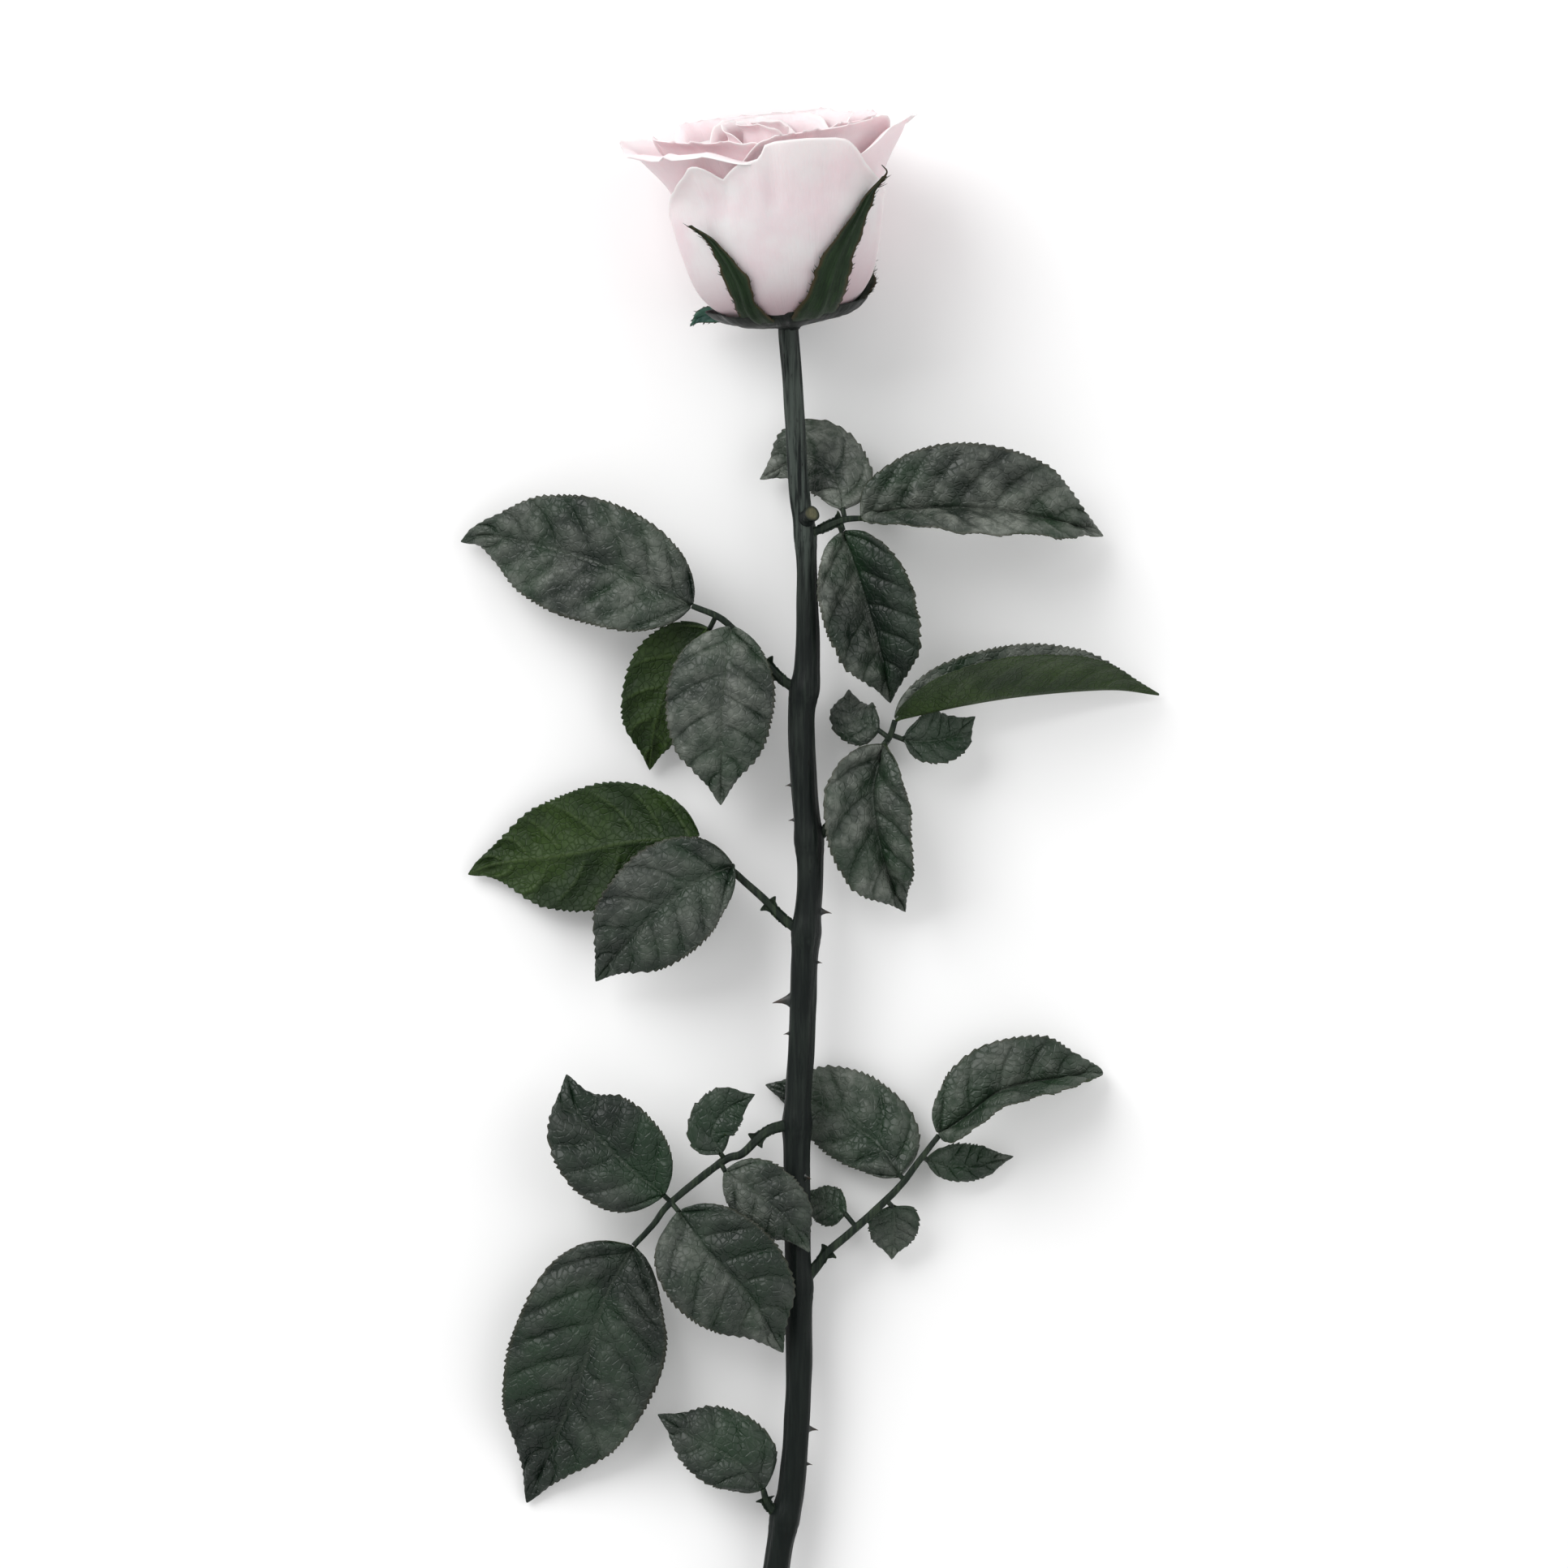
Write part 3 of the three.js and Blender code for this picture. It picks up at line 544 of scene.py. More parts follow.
def set_along(name, spots, template, material, size=1.0):
    """Plain mesh of copies of the template.

    Each spot is its place, aim, lean and width and height factors.
    """
    mesh = bpy.data.meshes.new(name + "_spots")
    mesh.from_pydata([tuple((np.asarray(s[0]) + ORIGIN) * MM) for s in spots], [], [])
    for key, rows in (
        ("turned", [turn_towards(s[1], s[2]) for s in spots]),
        ("sized", [(s[3], s[3], s[4]) for s in spots]),
    ):
        mesh.attributes.new(key, "FLOAT_VECTOR", "POINT").data.foreach_set(
            "vector", np.asarray(rows, np.float32).ravel()
        )
    holder = bpy.data.objects.new(name + "_spots", mesh)
    bpy.context.scene.collection.objects.link(holder)
    tree = scatter_tree()
    modifier = holder.modifiers.new("Set along", "NODES")
    modifier.node_group = tree
    sockets = {i.name: i.identifier for i in tree.interface.items_tree if i.in_out == "INPUT"}
    modifier[sockets["Template"]] = template
    modifier[sockets["Finish"]] = material
    modifier[sockets["Size"]] = size
    settled = holder.evaluated_get(bpy.context.evaluated_depsgraph_get())
    made = bpy.data.meshes.new_from_object(settled)
    made.name = name
    holder.modifiers.remove(modifier)
    bpy.data.objects.remove(holder)
    piece = bpy.data.objects.new(name, made)
    bpy.context.scene.collection.objects.link(piece)
    made.polygons.foreach_set("use_smooth", np.ones(len(made.polygons), bool))
    return piece


def spike_template(name, rings, sides, hook, flat):
    """Upright hooked spike one unit tall, for copying; it is removed once its copies are real."""
    points, faces = [], []
    for k, (height, reach) in enumerate(rings):
        for j in range(sides):
            a = 2 * math.pi * j / sides
            points.append((reach * math.cos(a) + hook * height**2, flat * reach * math.sin(a), height))
    for k in range(len(rings) - 1):
        for j in range(sides):
            a, b = k * sides + j, k * sides + (j + 1) % sides
            faces.append((a, b, b + sides, a + sides))
    faces.append(tuple(reversed(range(sides))))
    faces.append(tuple((len(rings) - 1) * sides + j for j in range(sides)))
    mesh = bpy.data.meshes.new(name)
    mesh.from_pydata([tuple(MM * v for v in p) for p in points], [], faces)
    share = mesh.attributes.new("share", "FLOAT", "POINT")
    share.data.foreach_set("value", np.array([p[2] for p in points], np.float32))
    holder = bpy.data.objects.new(name, mesh)
    bpy.context.scene.collection.objects.link(holder)
    return holder


# ------------------------------------------------------------------ bloom
BLOOM_LEAN, BLOOM_TIP = math.radians(6), math.radians(10)
BLOOM_RADIUS, BLOOM_HEIGHT = 24.5, 44.5
LAYER_SHARE, LAYER_LIFT, LIP_START = 0.0425, 0.44, 0.6
PETAL_COUNT = 23
NECK = np.array([0.0, 0.0, NECK_HEIGHT])
AXIS = np.array(
    [
        -math.sin(BLOOM_LEAN) * math.cos(BLOOM_TIP),
        math.cos(BLOOM_LEAN) * math.cos(BLOOM_TIP),
        math.sin(BLOOM_TIP),
    ]
)
ACROSS = np.array([math.cos(BLOOM_LEAN), math.sin(BLOOM_LEAN), 0.0])
ABOVE = np.cross(ACROSS, AXIS)
CUP = Path(
    [(0.25, 0.026), (0.49, 0.035), (0.69, 0.09), (0.83, 0.195), (0.93, 0.37), (0.995, 0.56), (1, 0.72),
     (0.99, 0.87), (0.98, 1)]
)


def bloom_point(radius, height, turn):
    """Point of the bloom: turn 0 is its upper side, 90 towards +X."""
    a = np.radians(turn)[..., None]
    r, h = np.asarray(radius)[..., None], np.asarray(height)[..., None]
    return NECK + AXIS * h + ABOVE * r * np.cos(a) + ACROSS * r * np.sin(a)


def cup_section(layer, along, turn, offset=0.0):
    """Radius and height of one layer of the cup, flared at the lip."""
    at, heading = CUP.at(along), CUP.heading(along)
    at = at + heading * (np.maximum(np.asarray(along) - 1, 0) * CUP.length)[..., None]
    shrink = 1 - LAYER_SHARE * layer
    normal = unit(np.stack([heading[..., 1] * BLOOM_HEIGHT, -heading[..., 0] * BLOOM_RADIUS * shrink], -1))
    height = (
        at[..., 1] * BLOOM_HEIGHT + LAYER_LIFT * layer * (1 - 0.85 * at[..., 1]) + normal[..., 1] * offset
    )
    inner = at[..., 0] * BLOOM_RADIUS * shrink + normal[..., 0] * offset
    a = np.radians(turn)
    flare = 0.285 - 0.205 * np.cos(2 * a) - 0.07 * np.sin(a) - 0.07 * np.maximum(0, np.sin(a)) ** 2
    openness = smooth((height / BLOOM_HEIGHT - LIP_START) / (1 - LIP_START)) ** 1.4
    lumps = 1 + 0.018 * np.sin(2 * a + math.radians(50)) + 0.015 * np.sin(3 * a + math.radians(120))
    return (inner + flare * openness * (inner / BLOOM_RADIUS) ** 3 * BLOOM_RADIUS) * lumps, height


# Outer petals one by one: turn, half spread, reach of the lip from side to side, how far it rolls, and the
# width of the roll.
OUTER_PETALS = [
    (-4, 77, [0.65, 0.8, 0.85, 0.93, 0.99, 0.95, 0.72], [10, 25, 20, 8, 12, 25, 20], 3.4),
    (112, 70, [0.9, 0.975, 0.985, 0.945, 0.89, 0.89, 0.84], [50, 65, 75, 75, 60, 55, 50], 3.6),
    (-88, 78, [0.85, 0.94, 0.99, 1.01, 0.99, 0.965, 0.925], [50, 55, 50, 45, 105, 120, 100], 5.2),
    (176, 64, [0.86, 0.96, 1.01, 1.03, 1.05, 1.02, 0.84], [40, 45, 50, 60, 50, 45, 40], 4.5),
    (38, 62, [0.88, 0.97, 1.01, 1.02, 1.01, 0.98, 0.9], [40, 50, 55, 55, 50, 40, 35], 4.5),
    (-52, 60, [0.88, 0.98, 1.01, 1.02, 1.01, 0.98, 0.9], [40, 45, 50, 55, 60, 50, 40], 4.5),
]
GOLDEN_ANGLE = 137.5  # degrees from one inner petal to the next
# The front petal's torn-looking lip: turns, and the height it reaches there as a share of the bloom's.
FRONT_LIP = np.array(
    [(-82, 0.58), (-75, 0.656), (-65, 0.71), (-56, 0.754), (-44, 0.835), (-38, 0.883), (-35, 0.893),
     (-32, 0.868), (-27, 0.802), (-22, 0.838), (-17, 0.872), (-10, 0.885), (-6, 0.895), (-3, 0.955),
     (2, 0.968), (17, 0.965),
     (30, 0.95), (35, 0.935), (41, 0.87), (47, 0.8), (57, 0.72), (68, 0.66), (76, 0.6)]
)


def share_at_height(height):
    """How far along the cup a height, as a share of the bloom's, is reached."""
    along = np.linspace(0, 1, 400)
    return np.interp(height, CUP.at(along)[:, 1], along)


def petal_grid(index, settings, rows=84, columns=80):
    """Grid of a petal's middle surface, with its thickness, UV and marks."""
    depth = index / (PETAL_COUNT - 1)
    if index < len(OUTER_PETALS):
        turn, spread, reach, roll, width = OUTER_PETALS[index]
    else:
        # Every third inner petal stands tall over the two after it, so the lips lie in a few broad folds.
        height = lerp(1.035, 0.985, depth) * (1, 0.9, 0.85)[index % 3]
        turn = -60 + GOLDEN_ANGLE * (index - len(OUTER_PETALS) + 1)
        spread = lerp(58, 150, depth**2)
        reach = np.array([0.9, 0.97, 1, 1.005, 1, 0.97, 0.9]) * height
        roll = np.array([30, 45, 55, 50, 55, 42, 30]) * (1, 0.8, 0.6)[index % 3]
        width = lerp(5, 3, depth)
    u = np.linspace(-1, 1, columns)
    side = (u + 1) / 2
    wander = noise(u * 1.7 + 11.3 * index, 0.5, 0, 7)
    lip = share_at_height(np.interp(turn + u * spread, *FRONT_LIP.T)) if index == 0 else between(reach, side)
    wavy = 0.4 if index == 0 else 1.0
    lip = lip + wavy * (
        0.014 * noise(u * 2.6 + 3.1 * index, 1.5, 0, 9) + 0.002 * noise(u * 11 + index, 2.5, 0, 10)
    )
    rolled = np.radians(between(roll, side) * settings.petal_roll * (1 + 0.25 * wander))
    width = width * (1 + 0.25 * noise(u * 2.3 + 5.7 * index, 4.5, 0, 3))
    # A lip that rolls over loses height, so it starts out longer by as much.
    kept = np.where(rolled < math.pi / 2, np.sinc(rolled / math.pi), 1 / np.maximum(rolled, 0.1))
    lip = lip + width * (1 - kept) / (CUP.length * BLOOM_HEIGHT)
    share = np.linspace(0, 1, rows) ** 0.85
    along = share[:, None] * lip[None, :]
    half = lerp(24, spread, smooth((along - 0.04) / 0.45))
    angle = turn + u[None, :] * half
    radius, height = cup_section(index, along, angle)
    step_r, step_h = np.diff(radius, axis=0), np.diff(height, axis=0)
    step = np.hypot(step_r, step_h)
    course = np.arctan2(step_h, step_r)
    walked = np.cumsum(step, axis=0)
    total = walked[-1]
    course = course - rolled * smooth((walked - (total - width)) / width)
    radius = np.vstack([radius[:1], radius[:1] + np.cumsum(step * np.cos(course), axis=0)])
    height = np.vstack([height[:1], height[:1] + np.cumsum(step * np.sin(course), axis=0)])
    # One slow swell runs through every layer alike and grows towards the lip. Rolled lips can still cross.
    a = np.radians(angle)
    radius = radius + settings.petal_swell / MM * bloom_swell(a, height)
    if index == 0:
        fold = (
            1.3 * bump(angle, -36, 5) - 1.2 * bump(angle, -27, 5)
            + 0.8 * bump(angle, -8, 4) - 0.5 * bump(angle, -1, 4)
        )
        corner = 0.9 * bump(angle, 38, 7)
        radius = radius + (fold + corner) * smooth((height - 22) / 12)
    else:
        flutes = noise(np.cos(a) * 2.6 + index, np.sin(a) * 2.6, 0.3 * index, 23)
        radius = radius + 0.4 * flutes * smooth((height / BLOOM_HEIGHT - 0.7) / 0.3)
    middle = bloom_point(radius, height, angle)
    # The lowest lips lie on the table.
    middle[..., 2] = np.maximum(middle[..., 2], 0.4 + 0.1 * index - ORIGIN[2])
    from_lip = (1 - share)[:, None] * total[None, :]
    from_side = (1 - np.abs(u))[None, :] * np.radians(half) * radius
    edge = np.minimum(from_lip, from_side)
    thickness = lerp(0.14, settings.petal_thickness / MM, smooth(edge / 2.2))
    marks = {
        # rim: paler near the lip, and a thin painted highlight along every edge.
        "rim": 0.6 * (1 - smooth(edge / 0.8)) + 0.35 * (1 - smooth(from_lip / 7)),
        # Painted pink glow of the light bounced in the bloom's recesses, on every petal but the outermost.
        "flush": np.full(along.shape, 0.75 if index else 0.0),
        # claw: painted shade towards the petal's base.
        "claw": 1 - smooth((along - 0.18) / 0.55),
    }
    uv = np.stack([np.broadcast_to(side, along.shape), np.broadcast_to(share[:, None], along.shape)], -1)
    return middle, thickness, uv + np.array([0.37 * index, 0]), marks


def bloom_swell(a, height):
    rise = smooth((height / BLOOM_HEIGHT - 0.2) / 0.8)
    return noise(np.cos(a) * 2.2, np.sin(a) * 2.2, height * 0.06, 21) * rise


# Sepals: turn at the foot and at the point, how late the turn drifts, reach and width.
SEPALS = [
    ("sepal_upper_left", -26, -46, 5, 0.71, 0.6),
    ("sepal_upper_right", 22, 60, 2.6, 0.8, 0.9),
    ("sepal_right", 98, 122, 1.5, 0.46, 0.8),
    ("sepal_under", 172, 166, 1.5, 0.6, 0.85),
]
SEPAL_WIDTHS = [6.4, 5.9, 5.2, 4.9, 4.7, 3.6, 2.2, 0.35]
COLLAR_REACH, SEPAL_START = 0.29, 0.22


def sepal_grid(number, foot, point, drift, reach, width):
    """Grid of a sepal against the bloom, with its thickness, UV and marks.

    Its upper half carries small lobes.
    """
    rows, columns = 110, 28
    share = np.linspace(0, 1, rows)
    along = lerp(SEPAL_START, reach, share)
    u = np.linspace(-1, 1, columns)
    radius = CUP.at(along)[:, 0] * BLOOM_RADIUS
    middle_turn = lerp(foot, point, share**drift) + 1.2 * noise(share * 4, number * 2.0, 1, 33) * share
    grown = smooth(share * 3) * smooth((1 - share) * 5)
    half = width * between(SEPAL_WIDTHS, share)[:, None] * np.ones((1, columns))
    lobes = 0.20 * noise(share[:, None] * 8, number * 3.0 + np.sign(u), 0, 31)
    lobes = lobes + 0.10 * noise(share[:, None] * 26, number * 3.0 + np.sign(u), 2, 32)
    half = half * (1 + lobes * grown[:, None] * np.abs(u))
    turn = middle_turn[:, None] + u * np.degrees(half / radius[:, None])
    reach_out = np.abs(u)[None, :]
    ridges = 0.16 * np.cos(u * 9)[None, :] * (1 - share[:, None]) + 0.35 * bump(u, 0, 0.14)[None, :]
    lift = 0.9 * reach_out**3 * smooth((share[:, None] - 0.1) * 3) * (0.4 + 0.6 * (lobes * 2 + 0.5)) + ridges
    lift = lift + 1.5 * smooth((share[:, None] - 0.86) / 0.14) ** 2
    r, h = cup_section(-0.8, np.broadcast_to(along[:, None], turn.shape), turn)
    swell = bloom_swell(np.radians(turn), h)
    middle = bloom_point(r + swell + lift + 0.1, h, turn)
    middle[..., 2] = np.maximum(middle[..., 2], 0.3 - ORIGIN[2])
    thickness = lerp(0.16, 0.5, smooth((1 - reach_out) * 3)) * np.ones((rows, 1))
    uv = np.stack(np.broadcast_arrays(u[None, :] * 0.5 + number, share[:, None]), -1)
    marks = {"rim": np.broadcast_to(smooth((np.abs(u) - 0.72) / 0.28), turn.shape)}
    return middle, thickness, uv, marks


def thread_arrays(middle):
    """Long thin thread that curls off the point of a sepal."""
    c = middle.shape[1] // 2
    point, run = middle[-1, c], unit(middle[-1, c] - middle[-14, c])
    steps = [(-2.5, 0), (-0.6, 0), (1, 0.1), (2, 0.7), (2.9, 1.7), (3.9, 2.9)]
    path = Path([point + run * a - ACROSS * b + ABOVE * 0.15 * a for a, b in steps])

    def radii(t, turn):
        size = lerp(0.45, 0.1, t**0.7) * (1 + 0.1 * np.cos(turn))
        return size, size

    points, faces, uv, _ = tube_arrays(path, radii, 40, 10)
    return points, faces, uv, {"rim": np.ones(len(points))}


def hair_spots(rng, middle, count, size, ends=0.0):
    """Places for hairs along the two edges of a sheet, pointing outwards and towards its tip."""
    rows = middle.shape[0]
    spots = []
    for k in range(count):
        t = ends + (1 - ends) * rng.random()
        i = int(np.clip(t * (rows - 1), 1, rows - 2))
        side = 0 if k % 2 else -1
        edge, inside = middle[i, side], middle[i, 3 if side == 0 else -4]
        along = unit(middle[i + 1, side] - middle[i - 1, side])
        out = unit(edge - inside)
        aim = unit(
            out * (0.5 + rng.random() * 0.6) + along * (0.4 + 0.7 * rng.random()) + rng.normal(0, 0.18, 3)
        )
        length = size * (0.5 + 0.8 * rng.random())
        spots.append((edge, aim, along, 0.16 + 0.1 * rng.random(), length))
    return spots


def receptacle_arrays():
    """Hip under the bloom and the collar it spreads into, as one turned form that swells under the sepals."""
    claw, low = BLOOM_RADIUS * 0.25, BLOOM_HEIGHT * 0.026
    dome = low + LAYER_LIFT * (PETAL_COUNT - 1) - 0.35

    def under_cup(share, depth):
        at = CUP.at(COLLAR_REACH * 1.12 * share)
        return at[0] * BLOOM_RADIUS, at[1] * BLOOM_HEIGHT - 0.32 - depth

    outline = Path(
        [(0.02, -2.1), (1.6, -2.1), (2.3, -1.8), (3.2, -1.2), *(under_cup(k, 0.6) for k in (0.3, 0.6, 0.85)),
         under_cup(1, 0.45), under_cup(1.03, 0.3), under_cup(1, 0.1),
         *(under_cup(k, 0) for k in (0.85, 0.6, 0.3)),
         (claw * 0.84, low - 0.45), (claw * 0.48, lerp(low, dome, 0.42)), (0.02, dome - 0.7)]
    )
    rows, sides = 130, 120
    section = outline.at(np.linspace(0, 1, rows))
    turn = np.linspace(0, 360, sides, endpoint=False)
    out = smooth((section[:, :1] - 3) / 6)
    ragged = 1 + 0.05 * noise(turn * 0.07, 0.5, 0, 41)[None, :] * out
    radius = section[:, :1] * ragged
    rough = (
        0.10 * noise(turn[None, :] * 0.25, section[:, :1] * 0.9, 1.0, 42)
        - 0.25 * noise(turn * 0.05, 3.0, 1, 43)
    )
    height = section[:, 1:] + (rough - 0.2) * out
    points = bloom_point(radius, height, np.broadcast_to(turn, radius.shape)).reshape(-1, 3)
    points[:, 2] = np.maximum(points[:, 2], 0.05 - ORIGIN[2])
    index = np.arange(rows * sides).reshape(rows, sides)
    right = np.roll(index, -1, axis=1)
    walls = np.stack([index[:-1], right[:-1], right[1:], index[1:]], -1).reshape(-1, 4)
    ends = []
    for ring, flip in ((0, True), (rows - 1, False)):
        points = np.vstack([points, points[index[ring]].mean(0)])
        middle = np.full(sides, len(points) - 1)
        fan = np.stack([index[ring], right[ring], middle, middle], -1)
        ends.append(fan[:, ::-1] if flip else fan)
    share = np.concatenate([np.repeat(np.linspace(0, 1, rows), sides), [0, 1]])
    round_share = np.concatenate([np.tile(turn / 360, rows), [0, 0]])
    return points, np.vstack([walls, *ends]), np.stack([round_share, share], -1), {"rim": share * 0}


# ------------------------------------------------------------------ stem
SWAY = [
    (0.008, -0.1), (0.04, 0.8), (0.105, 2.2), (0.135, 3.6), (0.185, 4.1), (0.22, 3.9), (0.247, 2.7),
    (0.285, 3.1), (0.327, 4.4), (0.355, 4.7), (0.385, 3.8), (0.425, 3.2), (0.46, 2.7), (0.513, 1.8),
    (0.61, 2.2), (0.665, 2.3), (0.706, 1.6), (0.739, 0.6), (0.757, -0.9), (0.783, -2.5), (0.82, -4.2),
    (0.88, -4.4), (0.94, -3.6), (1, -3.4),
]
CUT_SLANT = -3.2  # of the cut end, from its middle to its edge
KNOTS = [0.135, 0.232, 0.327, 0.385, 0.506, 0.61, 0.757]
PRICKLES = [
    (0.292, -80, 1.6), (0.314, -85, 1.5), (0.372, 88, 2.7), (0.404, 80, 1.4), (0.428, -88, 4.2),
    (0.449, -75, 1.6), (0.36, 150, 2.6), (0.475, 165, 3.2), (0.54, 40, 2.2), (0.7, 120, 3), (0.722, 85, 1.6),
    (0.84, -60, 3.2), (0.9, 100, 2.6),
]


def stem_height(share):
    return lerp(NECK_HEIGHT, CUT_HEIGHT, share)


def stem_point(share):
    shares, offsets = zip(*SWAY)
    return np.array([np.interp(share, shares, offsets), -share * STEM_LENGTH, stem_height(share)])


def stem_size(share, radius):
    slim = lerp(0.74, 1, smooth((share - 0.12) / 0.14))
    thick = 1 + 0.12 * smooth((share - 0.7) / 0.3)
    swelling = sum(bump(share, k, 0.009) for k in KNOTS)
    return radius * slim * thick * (1 + 0.16 * swelling)


def stem_arrays(settings):
    rows = [(x, -share * STEM_LENGTH, stem_height(share)) for share, x in SWAY]
    path = Path([(0.1, -0.6, NECK_HEIGHT), *rows])

    def radii(t, turn):
        share = -path.at(t[:, 0])[:, 1:2] / STEM_LENGTH
        y = share * STEM_LENGTH
        neck = 1 - smooth((share - 0.10) / 0.05)
        ribs = (
            0.030 * np.sin(5 * turn + 2.2 * np.sin(y / 60))
            + lerp(0.012, 0.05, neck) * np.sin(9 * turn + y / 40)
        )
        ridges = 0.035 * noise(np.cos(turn) * 5, np.sin(turn) * 5, y * 0.05, 51)
        knobs = 0.040 * noise(np.cos(turn) * 2.0, np.sin(turn) * 2.0, y * 0.16, 52)
        rings = sum(
            -0.016 * bump(share, k + 0.0045, 0.0012) + 0.01 * bump(share, k + 0.007, 0.0012) for k in KNOTS
        )
        size = stem_size(share, settings.stem_radius / MM) * (1 + ribs + ridges + knobs + rings)
        return size, size

    stem = tube_arrays(path, radii, 900, 44, slant=CUT_SLANT, round_end=0.15)
    root = stem_point(0.127)
    stub_path = Path([root, root + (1.1, 1.3, 2.4), root + (1.9, 2.0, 4.3)])

    def stub_radii(t, turn):
        size = 1.7 * (
            1 + 0.05 * np.sin(3 * turn + 4 * t) + 0.14 * bump(t, 0.45, 0.12) + 0.05 * bump(t, 0.95, 0.08)
        )
        return size, size

    stub = tube_arrays(stub_path, stub_radii, 40, 32, round_end=-0.25)
    stub[3]["cut"] = stub[3]["cut"] * 0.3
    stub[3]["share"] = stub[3]["share"] * 0 + 0.3
    return join_arrays([stem, stub])


# ------------------------------------------------------------------ leaves
# Every point is measured from the middle of the stem at the leaf's knot, as the part's own leaves are.
def leaflet(rib, half_width, left, right, foot=0.55, tip=0.8, pale=(0.3, 0.3)):
    """pale is the strength of the painted sheen, a grey reflection painted on the upper side, on the left and
    on the right half.
    """
    return dict(rib=rib, half_width=half_width, left=left, right=right, foot=foot, tip=tip, pale=pale)


